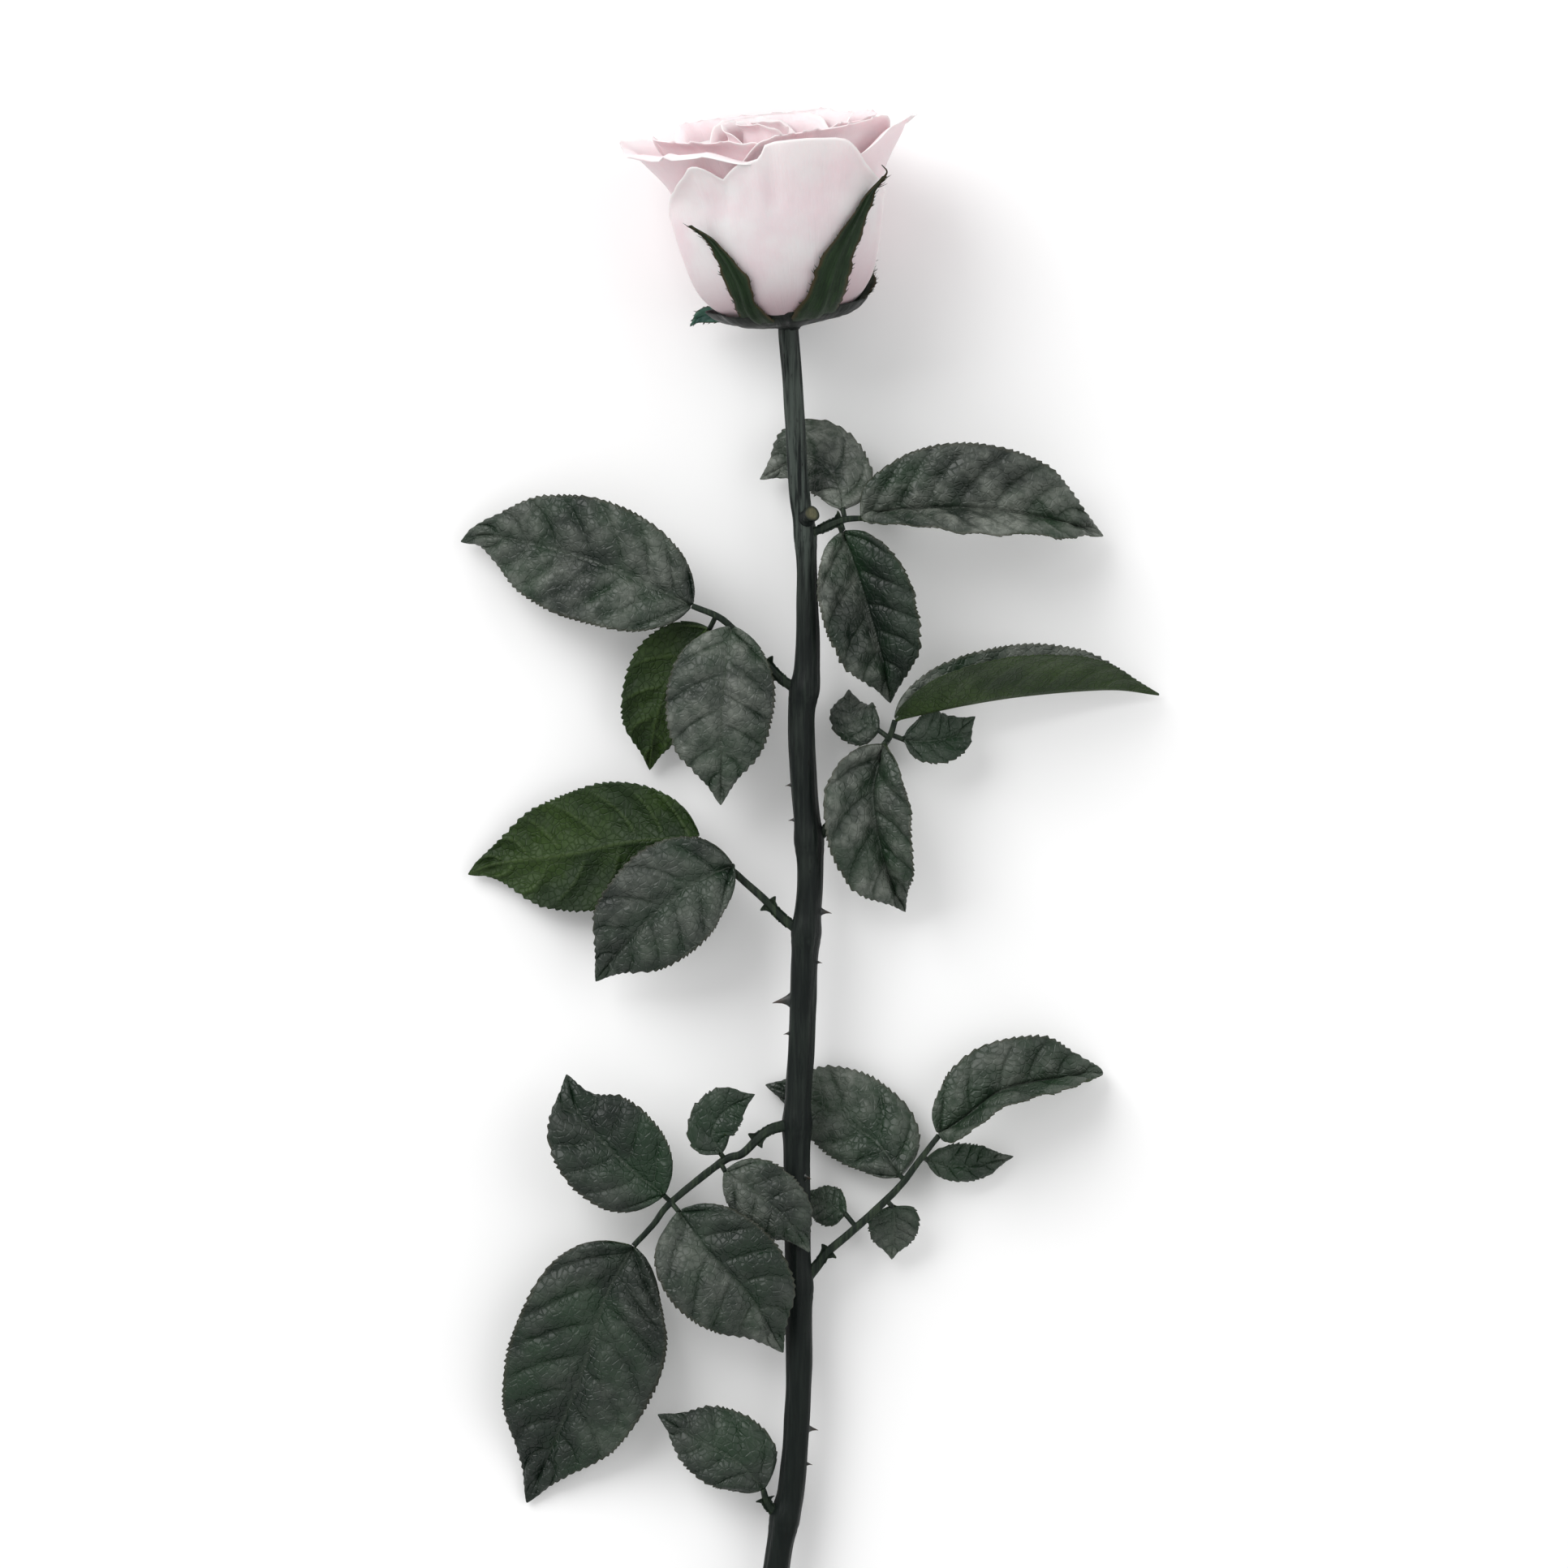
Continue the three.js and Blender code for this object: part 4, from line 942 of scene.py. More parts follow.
FLAT = ((0, 0), (180, 180))
BENT_SEPAL = leaflet([(-13.6, 1, -7.6), (-16.6, 1.9, -8.8), (-19.6, 1.5, -9.4), (-22, -0.6, -9.8)],
                     (1.9, 1.9),
                     (10, 30), (170, 150))
# Each leaflet's pale is the strength of the grey sheen painted on the upper side of its left and right half. It
# is a painted reflection of the light: strong on halves that shine, weak on halves that lie dark.
LEAVES = {
    "leaf_1": (0.135, [(3.5, 1.5, 1), (8.5, 3.5, 1.5)], {
        "end": leaflet([(12.6, 3.9, 1.2), (19.5, 5.3, 2), (37.5, 5.7, 1), (55.5, 3.5, -6), (66.6, 0.3, -13)],
                       (15, 12), (8, 14), (103, 118), pale=(0.7, 0.75)),
        "back": leaflet([(8.3, 6.2, 0.2), (7, 12.5, -4), (0.5, 18, -8), (-10, 13, -13)],
                       (6.5, 9), *FLAT, pale=(1, 1)),
        "front": leaflet([(8.2, 0.8, 0.6), (10.5, -5.5, 0), (15, -20, -2), (17.5, -29, -4), (19, -37, -8)],
                         (13, 13), (40, 35), (140, 145), pale=(0.03, 1.1)),
    }),
    "leaf_2": (0.232, [(-4.5, 2, 0), (-11, 8.5, 1), (-18, 15.5, 1.5)], {
        "end": leaflet([(-25, 18.7, 1.2), (-41.6, 26.6, 0), (-56, 31.5, -5), (-70.4, 34.7, -10.5),
                        (-76.7, 33.3, -14)], (14, 13.5), (12, 8), (165, 172), pale=(0.6, 0.5)),
        "front": leaflet([(-16.2, 13.8, 3), (-17.5, 4, 5.5), (-18.5, -8, 4.5), (-18.5, -25.6, -1)],
                         (11.5, 12.5), (0, 10), (180, 170), pale=(0.85, 0.85)),
        "back": leaflet([(-21, 13.5, -1.8), (-28.5, 5, -4.5), (-33, -7, -8.5), (-34.5, -17.8, -14.5)],
                        (9.5, 9.5), (182, 180), (358, 360)),
    }),
    "leaf_3": (0.327, [(4.5, 3, -0.5), (11, 13, -1.5), (16, 20, -1), (18.2, 23.4, 0)], {
        "end": leaflet([(19.2, 26.7, 0.9), (34, 30, -0.5), (49, 32.3, -3.5),
                       (67, 33.6, -8.5), (78.5, 32.5, -13.5)],
                       (12, 15.5), (25, 19), (52, 46), pale=(0.9, 0.2)),
        "left": leaflet([(15.4, 24.6, -1.5), (12, 26, -4), (9.5, 28.5, -7), (9, 33.5, -11)],
                       (5.5, 5), *FLAT, pale=(0.55, 0.6)),
        "right": leaflet([(21.1, 22.4, -0.8), (25.5, 22, -3), (31.5, 23, -6), (37.2, 27.5, -9)], (6.5, 5.5),
                         (10, 10), (160, 160), pale=(0.2, 0.15)),
        "front": leaflet([(16.8, 21.2, 2.4), (14.5, 13, 2.7), (14.5, 6, 2),
                       (17.2, -6.2, -3), (21.6, -16, -10)],
                         (10, 12.5), (50, 40), (150, 145), pale=(0.5, 0.85)),
    }),
    "leaf_4": (0.385, [(-4.5, 2.5, 0), (-9.5, 7.5, 0.5), (-14, 11.5, 1)], {
        "end": leaflet([(-24, 20.7, -1.5), (-38.4, 20.1, -4), (-52.8, 17.2, -7), (-69, 15.1, -10.5),
                        (-75.6, 12.7, -12.5)], (14, 13.5), (184, 182), (356, 358)),
        "front": leaflet([(-16.3, 14.8, 4), (-25.8, 10.6, 5), (-34.8, 3, 3.5), (-42.8, -5.6, -0.5),
                          (-46.8, -11, -4)], (12, 12.5), (12, 12), (168, 165), pale=(0.45, 0.5)),
    }),
    "leaf_5": (0.506, [(-6.8, -1.7, 2), (-12.2, -6.6, 3),
               (-16.7, -8.4, 3), (-28, -17.4, 2), (-32, -22.4, 1.5)], {
        "end": leaflet([(-36.5, -27.3, 1), (-42.8, -38.6, 0.5), (-47.3, -53, -2), (-52.7, -67.4, -6.5),
                        (-60.6, -85.4, -11.6)], (17, 17.5), (14, 10), (166, 170), pale=(0.17, 0.15)),
        "left": leaflet([(-29.8, -15.8, 3.2), (-39.2, -8, 4), (-48.2, 1.9, 3), (-51.4, 10.9, 1)], (12, 11.5),
                        (8, 10), (165, 168), pale=(0.1, 0)),
        "right": leaflet([(-26.3, -19.6, 3.8), (-20.3, -27.8, 7), (-10.4, -38.6, 6), (-3.2, -50.9, 1.8)],
                         (12.5, 13.5), (15, 10), (172, 175), pale=(0.12, 0.5)),
        "near_right": leaflet([(-16, -10.6, 5), (-9.5, -15, 6.5), (-2, -21.5, 6.3), (2.6, -28.4, 3.8)],
                       (8, 7.5),
                              (5, -10), (180, 190), pale=(0.42, 0.5)),
        "near_left": leaflet([(-17.2, -6.4, 4), (-18.9, -1.9, 4.5), (-15.9, 3.1, 4), (-9.5, 6.5, 2.5)],
                       (6, 5),
                             (8, 8), (172, 172), pale=(0.15, 0.1)),
    }),
    "leaf_6": (0.61, [(4.3, 5.2, 0.5), (6.4, 7.9, 1),
               (12.7, 13.3, 1.5), (21.7, 21.7, 1.5), (27.1, 28.6, 1.5)], {
        "end": leaflet([(31.3, 34, 1.2), (37, 37.7, 1.5),
                       (46, 43.9, -0.5), (60.4, 46.6, -5), (68, 47.5, -8.8)],
                       (11, 10), (10, 15), (110, 104), foot=0.4, tip=0.5, pale=(0.45, 0.4)),
        "left": leaflet([(22.5, 24.9, -0.8), (18.3, 31.2, -2.5), (13.6, 34.9, -4), (2.8, 41.2, -6.5),
                         (-7.4, 44.8, -9.2)], (8.5, 11.5), *FLAT, pale=(0.5, 0.65)),
        "right": leaflet([(28.8, 28.2, -0.5), (34, 27, -3), (40, 27, -5.5), (48, 28.8, -8)], (5, 3.5), (5, 5),
                         (175, 175), pale=(0.35, 0.3)),
        "near_right": leaflet([(20.9, 17.9, -0.4), (21.4, 15, -2.2), (21, 10.5, -4), (20.8, 6, -6)], (5.5, 6),
                              (5, 5), (175, 175), foot=0.4, pale=(0.5, 0.3)),
        "near_left": leaflet([(10.3, 16.4, -1.2), (7.5, 17.5, -3), (5, 19, -5), (1.5, 21, -7)],
                       (4.5, 4.5), *FLAT, pale=(0.35, 0.3)),
    }),
    "leaf_7": (0.757, [(-3.6, 3, 1.2)], {
        "end": leaflet([(-4.9, 6.9, 2.6), (-10, 12.5, 4.4), (-17, 16.5, 4), (-28.3, 23.3, 1)],
                       (7.5, 10), *FLAT, pale=(0.2, 0.15)),
    }),
}


TOOTH_SPACING = 1.5  # along a leaflet's margin
VEIN_SPACING = 7.5  # between side veins, along the rib


def outline_of(t, foot, tip):
    widest = foot / (foot + tip)
    t = np.clip(t, 1e-4, 1 - 1e-4)
    return (t / widest) ** foot * ((1 - t) / (1 - widest)) ** tip


def leaflet_grid(spec, place, seed, settings, rows=170, columns=45, detail=1.0):
    """Grid, thickness, UV and marks of one leaflet: toothed outline, sunken veins, quilting, wavy margin."""
    path = Path([place(p) for p in spec["rib"]])
    t = np.linspace(0.002, 0.998, rows)[:, None]
    u = np.linspace(1, -1, columns)
    u = (np.sign(u) * np.abs(u) ** 0.9)[None, :]  # from the left edge, 1, over the rib to the right edge
    reach = np.abs(u)
    widths = np.where(u >= 0, spec["half_width"][0], spec["half_width"][1])
    shape = np.maximum(0.01, outline_of(t, spec["foot"], spec["tip"]) * (1 - 0.5 * smooth((t - 0.68) / 0.28)))
    length = path.length
    count = max(12, int(length / TOOTH_SPACING))
    phase = (t * count + 0.7 * noise(t * 11, seed, 0, 61) + np.where(u > 0, 0.37, 0)) % 1.0
    saw = np.where(phase < 0.72, phase / 0.72, (1 - phase) / 0.28) - 0.45
    depth = (
        settings.tooth_depth / MM * detail * (1 + 0.5 * noise(t * 40, seed, 4, 68))
        * smooth(t * 9) * smooth((1 - t) * 14 + 0.15)
    )
    half = shape * widths * (1 + 0.02 * noise(t * 6, np.where(u > 0, 3.0, 9.0), seed, 62))
    depth = depth * np.minimum(1, half / 6)
    half = half + saw * depth * smooth((reach - 0.8) / 0.2)
    lean_left, lean_right = (lerp(spec[k][0], spec[k][1], t) for k in ("left", "right"))
    lean = np.where(u >= 0, lean_left, lean_right)
    slack = np.where(u >= 0, 1.0, -1.0)
    sag = settings.leaf_sag * (reach - 0.35) * slack
    angle = np.radians(lean - 10 * sag)
    slid = t + 0.5 * saw * depth / length * smooth((reach - 0.8) / 0.2)
    centre, heading = path.at(slid), path.heading(np.broadcast_to(t, slid.shape))
    side, rise = across(heading)
    out = side * np.cos(angle)[..., None] + rise * np.sin(angle)[..., None]
    upward = (-side * np.sin(angle)[..., None] + rise * np.cos(angle)[..., None]) * slack[..., None]
    x = reach * half
    # Side veins leave the rib at a slant and bend forwards; q counts them from the foot.
    veins = max(5.0, min(9.0, length / VEIN_SPACING))
    q = (t - 0.30 * x / length - 0.10 * reach**2) * veins + 0.35 * noise(t * 3, slack, seed, 63)
    q = q + np.where(u >= 0, 0.0, 0.45)
    near = np.abs(q - np.round(q))
    fade = smooth(reach * 5) * (1 - 0.55 * smooth((reach - 0.7) / 0.3))
    side_vein = bump(near, 0, 0.07) * fade * (1 - smooth((reach - 0.9) / 0.1))
    rib_vein = bump(x, 0, 0.5 * (1.15 - t))
    quilt = (
        (0.5 - 0.5 * np.cos(2 * np.pi * q)) * smooth(reach * 3) * (1 - 0.5 * smooth((reach - 0.75) / 0.25))
    )
    along_mm, across_mm = t * length, x * slack
    blister = (
        noise(along_mm * 0.42, across_mm * 0.42, seed, 64)
        + 0.6 * noise(along_mm * 0.9, across_mm * 0.9, seed, 65)
    )
    wave = noise(along_mm * 0.085, np.where(u >= 0, 5.0, 15.0), seed, 66) * reach**2
    broad = noise(along_mm * 0.07, across_mm * 0.07, seed, 67) * reach
    # A leaflet folded shut swells less.
    open_share = np.clip((spec["right"][0] - spec["left"][0]) / 90, 0.2, 1)
    size = min(1.0, length / 45.0) * open_share
    relief = size * settings.leaf_quilt / MM * (
        0.75 * quilt - 0.5 * side_vein - 0.7 * rib_vein + 0.3 * blister * smooth(reach * 4)
    )
    relief = relief * smooth((1 - t) * 7) + size * (1.1 * wave + 0.9 * broad) * smooth((1 - t) * 3)
    middle = centre + out * x[..., None] + upward * relief[..., None]
    # A blade that meets the table lies flat on it.
    middle[..., 2] = np.maximum(middle[..., 2], 0.35 - ORIGIN[2])
    thickness = (
        settings.leaf_thickness / MM * lerp(0.45, 1.0, smooth((1 - reach) * 5)) + 0.35 * rib_vein * (1.1 - t)
    )
    vein = np.maximum(np.maximum(side_vein * 0.8, rib_vein), 0.0)
    uv = np.stack(np.broadcast_arrays(across_mm / 70 + 0.31 * seed, along_mm / 70), -1)
    edge = smooth((reach - 0.9) / 0.1) * np.ones_like(t)
    # The pale mark carries the painted sheen: each half's given strength, in random patches. It is lighter on
    # the quilted swells and darker in the vein grooves, as painted light and shade.
    patches = noise(along_mm * 0.09, across_mm * 0.09, seed, 69)
    painted_quilt_shading = (quilt - 0.5) * 0.22 + 0.3 * blister - 0.4 * side_vein
    pale = np.where(u >= 0, *spec["pale"]) * np.clip(0.75 + 0.7 * patches + painted_quilt_shading, 0.05, 1.3)
    marks = {"vein": vein, "rim": edge, "pale": np.clip(pale, 0, 1)}
    return middle, thickness, uv, marks


def stalk_arrays(name, settings):
    """Common stalk of a leaf with its channel, short stalks and the two stipules."""
    knot, path_points, leaflets = LEAVES[name]
    root = stem_point(knot)
    place = lambda p: np.asarray(p, float) + root
    specs = list(leaflets.values())
    on_path = [place(p) for p in path_points]
    foot = place(specs[0]["rib"][0])
    end = foot + unit(on_path[-1] - foot) * 0.12
    path = Path([root, *on_path, end])

    def radii(t, turn):
        size = settings.stalk_radius / MM * lerp(1.25, 0.75, t) * (1 + 0.5 * bump(t, 0.0, 0.12))
        channel = 1 - 0.2 * bump(np.degrees(turn), 90, 22)
        knobs = 1 + 0.06 * noise(np.cos(turn) * 2, np.sin(turn) * 2, t * path.length * 0.5, 71)
        return size * channel * knobs, size * channel * knobs

    parts = [tube_arrays(path, radii, max(60, int(path.length * 3)), 20, round_end=0.05)]
    for spec in specs[1:]:
        base = place(spec["rib"][0])
        near = path.points[np.argmin(np.linalg.norm(path.points - base, axis=1))]
        inner = Path([near, lerp(near, base, 0.5) + (0, 0, -0.15), base + unit(near - base) * 0.1])
        parts.append(tube_arrays(inner, lambda t, turn: (0.57 + 0 * (t + turn),) * 2, 14, 14))
    # Stipules: two narrow wings along the foot of the stalk, each ending in a free point.
    reach = min(0.5 * path.length, 9.0)
    for hand in (1, -1):
        s = np.linspace(2.6, 2.6 + reach, 46)[:, None]
        v = np.linspace(0, 1, 12)[None, :]
        centre, heading = path.at(s / path.length), path.heading(s / path.length)
        side, rise = across(heading)
        k = (s - 2.6) / reach
        width = 0.8 * smooth(k * 5) * (1 - smooth((k - 0.72) / 0.28)) + 1.3 * bump(k, 0.82, 0.07)
        fringe = 0.14 * noise(k * 30, hand, seed_of(name), 73) * (v > 0.9)
        reach_out = 0.3 + (width + fringe) * v
        middle = (
            centre + side * (hand * reach_out)[..., None] + rise * (0.25 * v + 0.5 * v**2 * width)[..., None]
        )
        middle = middle + heading * (0.9 * v * bump(k, 0.8, 0.12))[..., None]
        uv = np.stack(np.broadcast_arrays(v * 0.2, k), -1)
        marks = {"rim": smooth((v - 0.7) / 0.3) * np.ones_like(k), "share": 0.6 * np.ones_like(k * v)}
        if hand < 0:
            middle, uv = middle[:, ::-1], uv[:, ::-1]
            marks = {key: m[:, ::-1] for key, m in marks.items()}
        parts.append(sheet_arrays(middle, 0.22, uv, marks))
    points, faces, uv, marks = join_arrays(parts)
    marks["cut"] = marks["cut"] * 0
    return points, faces, uv, marks


def seed_of(name):
    return sum(ord(c) * (k + 3) for k, c in enumerate(name)) % 97


# ------------------------------------------------------------------ settings
def length_of(name, millimetres, description):
    return FloatProperty(
        name=name, description=description, default=millimetres * MM, min=0.0, unit="LENGTH", precision=5
    )


def colour_of(name, default, description):
    return FloatVectorProperty(
        name=name, description=description, default=default, min=0.0, max=1.0, size=3, subtype="COLOR"
    )


class RoseBloomSettings(bpy.types.PropertyGroup):
    """Sizes and colours of the petals and the calyx."""

    petal_thickness: length_of("Petal thickness", 0.34, "Thickness of a petal away from its edges")
    petal_swell: length_of("Petal swell", 1.0, "How far the cup bulges and hollows around its lip")
    petal_roll: FloatProperty(
        name="Lip roll", description="How far the lips roll outwards", default=1.0, min=0, max=1.3
    )
    petal_colour: colour_of("Petal", (0.81, 0.70, 0.71), "Colour of the petals")
    petal_blush: colour_of("Blush", (0.80, 0.57, 0.615), "Colour the petals drift to in patches")
    sepal_dark: colour_of("Sepal dark", (0.006, 0.015, 0.006), "Darker colour of the calyx")
    sepal_light: colour_of("Sepal light", (0.022, 0.055, 0.015), "Lighter streaks of the calyx")
    sepal_edge: colour_of("Sepal margin", (0.055, 0.036, 0.014), "Colour of the sepals' margins")
    hair_count: IntProperty(
        name="Hairs", description="Hairs on the margins of each sepal", default=70, min=0, max=400
    )
    hair_length: length_of("Hair length", 0.9, "Length of the hairs on the sepals")


class RoseStemSettings(bpy.types.PropertyGroup):
    """Sizes and colours of the stem."""

    stem_radius: length_of("Stem radius", 2.9, "Radius of the stem below the upper leaves")
    prickle_size: FloatProperty(
        name="Prickle size", description="Size of every prickle against its own length",
        default=1.0, min=0.5, max=1.2
    )
    stem_dark: colour_of("Stem dark", (0.0035, 0.006, 0.0055), "Darker colour of the stem")
    stem_light: colour_of("Stem light", (0.016, 0.022, 0.018), "Lighter streaks of the stem")


class RoseLeafSettings(bpy.types.PropertyGroup):
    """Sizes and colours of the leaves."""

    leaf_thickness: length_of("Blade thickness", 0.45, "Thickness of a leaflet near its rib")
    leaf_quilt: length_of("Quilting", 1.0, "Height of the blade's swell between its side veins")
    leaf_sag: FloatProperty(name="Sag", description="How far each half bends over", default=1.0, min=0, max=3)
    tooth_depth: length_of("Tooth depth", 0.5, "Depth of the teeth along the margin")
    stalk_radius: length_of("Stalk radius", 0.85, "Radius of the common stalk")
    leaf_colour: colour_of("Leaf", (0.004, 0.010, 0.006), "Colour of the upper side")
    leaf_light: colour_of("Leaf sheen", (0.009, 0.027, 0.011), "Colour the upper side drifts to")
    leaf_under: colour_of("Leaf underside", (0.006, 0.022, 0.001), "Colour of the underside")


class RoseStageSettings(bpy.types.PropertyGroup):
    """Camera and light."""

    camera_height: length_of("Camera height", 2020.0, "Height of the camera above the table")
    view_width: length_of("View width", 347.8, "Width of the view across the rose")
    key_power: FloatProperty(name="Main light", description="Power of the main light", default=32.0, min=0)
    world_power: FloatProperty(
        name="Fill", description="Strength of the light from all round", default=0.68, min=0
    )
    floor_colour: colour_of("Table", (0.93, 0.93, 0.93), "Colour of the table")


# ------------------------------------------------------------------ operators
class BuildOperator:
    """What every step of the build shares."""

    bl_options = {"REGISTER", "UNDO"}

    def execute(self, context):
        self.build(context.scene)
        return {"FINISHED"}


class ROSE_OT_petals(BuildOperator, bpy.types.Operator):
    """Builds the petals from the outermost in"""

    bl_idname = "rose.petals"
    bl_label = "Petals"

    def build(self, scene):
        settings = scene.rose_bloom
        skin = petal_finish(settings)
        for index in range(PETAL_COUNT):
            name = f"petal_{index + 1:02d}"
            piece = new_piece(name + "_sheet", *sheet_arrays(*petal_grid(index, settings)))
            finish_piece(piece, skin, "petal", name)


class ROSE_OT_calyx(BuildOperator, bpy.types.Operator):
    """Builds the hip, the sepals that hug the bloom, the one bent back and their hairs"""

    bl_idname = "rose.calyx"
    bl_label = "Calyx"

    def build(self, scene):
        settings = scene.rose_bloom
        dark, light, edge = (
            tuple(c) for c in (settings.sepal_dark, settings.sepal_light, settings.sepal_edge)
        )
        skin = green_finish("Sepal", dark, light, edge)
        hip = new_piece("receptacle_turned", *receptacle_arrays())
        finish_piece(hip, green_finish("Receptacle", (0.003, 0.005, 0.004), (0.009, 0.013, 0.009), edge),
                     "receptacle",
                     "receptacle")
        rng = np.random.default_rng(4)
        spots, names, tips = [], [], {}
        for number, (name, *shape) in enumerate(SEPALS):
            middle, thickness, uv, marks = sepal_grid(number, *shape)
            tips[name] = middle
            piece = new_piece(name + "_blade", *sheet_arrays(middle, thickness, uv, marks))
            finish_piece(piece, skin, "sepal", name)
            spots += hair_spots(rng, middle, settings.hair_count, settings.hair_length / MM)
            spots += hair_spots(rng, middle, settings.hair_count // 10, settings.hair_length / MM * 2, 0.9)
            names.append(name)
        thread = new_piece("sepal_thread", *thread_arrays(tips["sepal_upper_right"]))
        finish_piece(thread, skin, "sepal", "sepal_upper_right")
        middle, thickness, uv, marks = leaflet_grid(
            BENT_SEPAL, lambda p: np.asarray(p, float) + NECK, 5.0, scene.rose_leaves, 60, 21, detail=0.3
        )
        bent = new_piece("sepal_bent_back_blade", *sheet_arrays(middle, thickness, uv, {"rim": marks["rim"]}))
        finish_piece(bent, green_finish("Bent sepal", (0.02, 0.055, 0.045), (0.05, 0.12, 0.085), edge),
                     "sepal",
                     "sepal_bent_back")
        spots += hair_spots(rng, middle, settings.hair_count // 3, settings.hair_length / MM * 0.6)
        spots = [spot for spot in spots if (spot[0] + spot[1] * spot[4] + ORIGIN)[2] > 0.1]
        hair = spike_template("hair", [(0, 0.5), (0.4, 0.34), (0.75, 0.2), (1, 0.05)], 4, 0.8, 1.0)
        hairs = set_along("sepal_hairs", spots, hair, skin)
        bpy.data.objects.remove(hair)
        finish_piece(hairs, skin, "sepal", *names, "sepal_bent_back")


class ROSE_OT_stem(BuildOperator, bpy.types.Operator):
    """Builds the stem with its cut end and the stub of a pruned shoot"""

    bl_idname = "rose.stem"
    bl_label = "Stem"

    def build(self, scene):
        settings = scene.rose_stem
        skin = stem_finish(
            "Stem", tuple(settings.stem_dark), tuple(settings.stem_light), (0.060, 0.075, 0.065)
        )
        piece = new_piece("stem_bark", *stem_arrays(settings))
        finish_piece(piece, skin, "stem", "stem")


class ROSE_OT_prickles(BuildOperator, bpy.types.Operator):
    """Sets the prickles on the stem"""

    bl_idname = "rose.prickles"
    bl_label = "Prickles"

    def build(self, scene):
        settings = scene.rose_stem
        skin = prickle_finish(tuple(settings.stem_dark), tuple(settings.stem_light))
        spots = []
        for share, turn, length in PRICKLES:
            a = math.radians(turn)
            out = np.array([math.sin(a), 0.0, math.cos(a)])
            foot = stem_point(share) + out * stem_size(share, settings.stem_radius / MM) * 0.9
            spots.append((foot, out, (0.0, -1.0, 0.0), length, length))
        rings = [(-0.3, 0.6), (0, 0.52), (0.1, 0.38), (0.26, 0.25), (0.5, 0.14), (0.78, 0.065), (1, 0.015)]
        thorn = spike_template("prickle", rings, 16, 0.16, 0.45)
        piece = set_along("stem_prickles", spots, thorn, skin, settings.prickle_size)
        bpy.data.objects.remove(thorn)
        finish_piece(piece, skin, "stem", "stem")


class ROSE_OT_stalks(BuildOperator, bpy.types.Operator):
    """Builds the common stalk of each leaf with its wings and the short stalks of its leaflets"""

    bl_idname = "rose.stalks"
    bl_label = "Leaf stalks"

    def build(self, scene):
        settings = scene.rose_leaves
        skin = stem_finish("Leaf stalk", (0.008, 0.014, 0.010), (0.030, 0.045, 0.026))
        for name in LEAVES:
            piece = new_piece(name + "_rachis", *stalk_arrays(name, settings))
            finish_piece(piece, skin, "leaf_stalk", name + "_stalk")


class ROSE_OT_leaflets(BuildOperator, bpy.types.Operator):
    """Builds every leaflet"""

    bl_idname = "rose.leaflets"
    bl_label = "Leaflets"

    def build(self, scene):
        settings = scene.rose_leaves
        skin = blade_finish(settings)
        seed = 1.0
        for name, (knot, _, leaflets) in LEAVES.items():
            root = stem_point(knot)
            for key, spec in leaflets.items():
                seed += 1.7
                grid = leaflet_grid(spec, lambda p: np.asarray(p, float) + root, seed, settings)
                piece = new_piece(f"{name}_{key}_blade", *sheet_arrays(*grid))
                finish_piece(piece, skin, "leaf_blade", f"{name}_{key}")


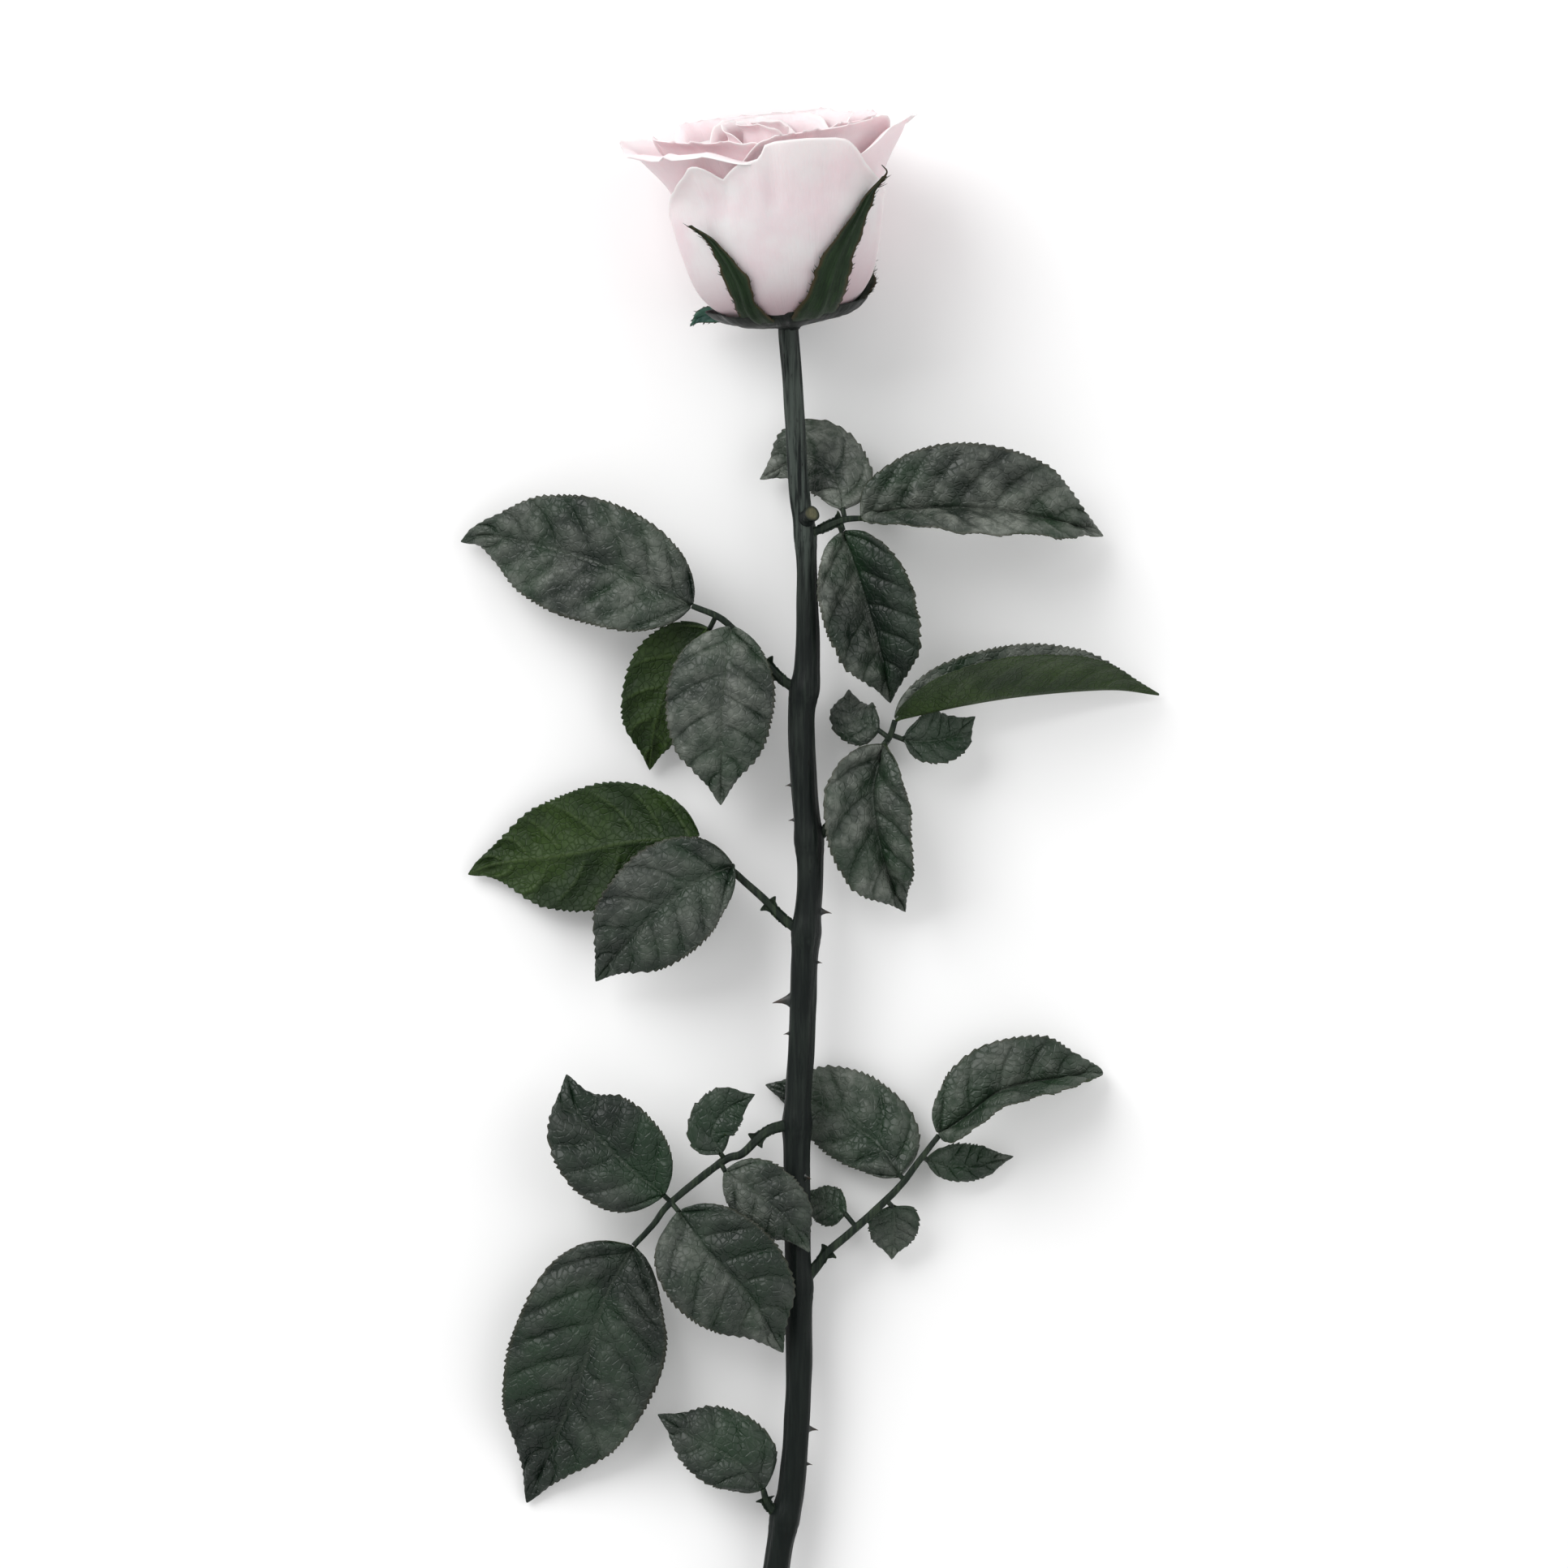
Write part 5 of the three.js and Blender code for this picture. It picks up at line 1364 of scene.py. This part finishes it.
class ROSE_OT_stage(BuildOperator, bpy.types.Operator):
    """Sets the table, the light and the camera straight above"""

    bl_idname = "rose.stage"
    bl_label = "Stage"

    def build(self, scene):
        settings = scene.rose_stage
        reach = 30.0
        mesh = bpy.data.meshes.new("table")
        mesh.from_pydata([(-reach, -reach, 0), (reach, -reach, 0), (reach, reach, 0), (-reach, reach, 0)], [],
                         [(0, 1, 2, 3)])
        table = bpy.data.objects.new("table", mesh)
        scene.collection.objects.link(table)
        f = Finish("Table")
        f.set(Base_Color=(*tuple(settings.floor_colour), 1.0), Roughness=0.9, Specular_IOR_Level=0.1)
        mesh.materials.append(f.material)
        for name, place, size, power in (
            ("main", (-1.15, 1.25, 1.5), 1.5, settings.key_power),
            ("fill", (1.4, 0.4, 1.5), 1.6, settings.key_power * 0.25),
        ):
            lamp = bpy.data.lights.new(name, "AREA")
            lamp.energy, lamp.size = power, size
            holder = bpy.data.objects.new(name, lamp)
            holder.location = place
            holder.rotation_euler = turn_towards(np.array(place), (1, 0, 0))
            scene.collection.objects.link(holder)
        world = scene.world or bpy.data.worlds.new("World")
        scene.world = world
        world.use_nodes = True
        sky = world.node_tree.nodes["Background"]
        sky.inputs["Color"].default_value = (1, 1, 1, 1)
        sky.inputs["Strength"].default_value = settings.world_power
        scene.view_settings.view_transform = "Standard"
        lens = bpy.data.cameras.new("camera")
        lens.sensor_width = 36.0
        lens.lens = 36.0 * 2.0 / settings.view_width
        camera = bpy.data.objects.new("camera", lens)
        across_table, along_table = (np.array([-1.08, -102.6]) + ORIGIN[:2]) * MM
        camera.location = (across_table, along_table, settings.camera_height)
        scene.collection.objects.link(camera)
        scene.camera = camera


class ROSE_PT_build(bpy.types.Panel):
    """The rose's settings and the steps of its build"""

    bl_idname = "ROSE_PT_build"
    bl_label = "Cut Rose"
    bl_space_type = "VIEW_3D"
    bl_region_type = "UI"
    bl_category = "Rose"

    def draw(self, context):
        for title, key, settings in SECTIONS:
            box = self.layout.box()
            box.label(text=title)
            for name in settings.__annotations__:
                box.prop(getattr(context.scene, key), name)
        for step in STEPS:
            self.layout.operator(step.bl_idname)


SECTIONS = (
    ("Bloom", "rose_bloom", RoseBloomSettings),
    ("Stem", "rose_stem", RoseStemSettings),
    ("Leaves", "rose_leaves", RoseLeafSettings),
    ("Stage", "rose_stage", RoseStageSettings),
)
STEPS = (
    ROSE_OT_petals, ROSE_OT_calyx, ROSE_OT_stem, ROSE_OT_prickles, ROSE_OT_stalks, ROSE_OT_leaflets,
    ROSE_OT_stage
)


def register():
    for _, key, settings in SECTIONS:
        bpy.utils.register_class(settings)
        setattr(bpy.types.Scene, key, PointerProperty(type=settings))
    for one in (*STEPS, ROSE_PT_build):
        bpy.utils.register_class(one)


def unregister():
    for one in (ROSE_PT_build, *reversed(STEPS)):
        bpy.utils.unregister_class(one)
    for _, key, settings in reversed(SECTIONS):
        delattr(bpy.types.Scene, key)
        bpy.utils.unregister_class(settings)


def main():
    register()
    for step in STEPS:
        group, name = step.bl_idname.split(".")
        if getattr(getattr(bpy.ops, group), name)() != {"FINISHED"}:
            raise RuntimeError(f"{step.bl_label} wasn't built")


if __name__ == "__main__":
    main()
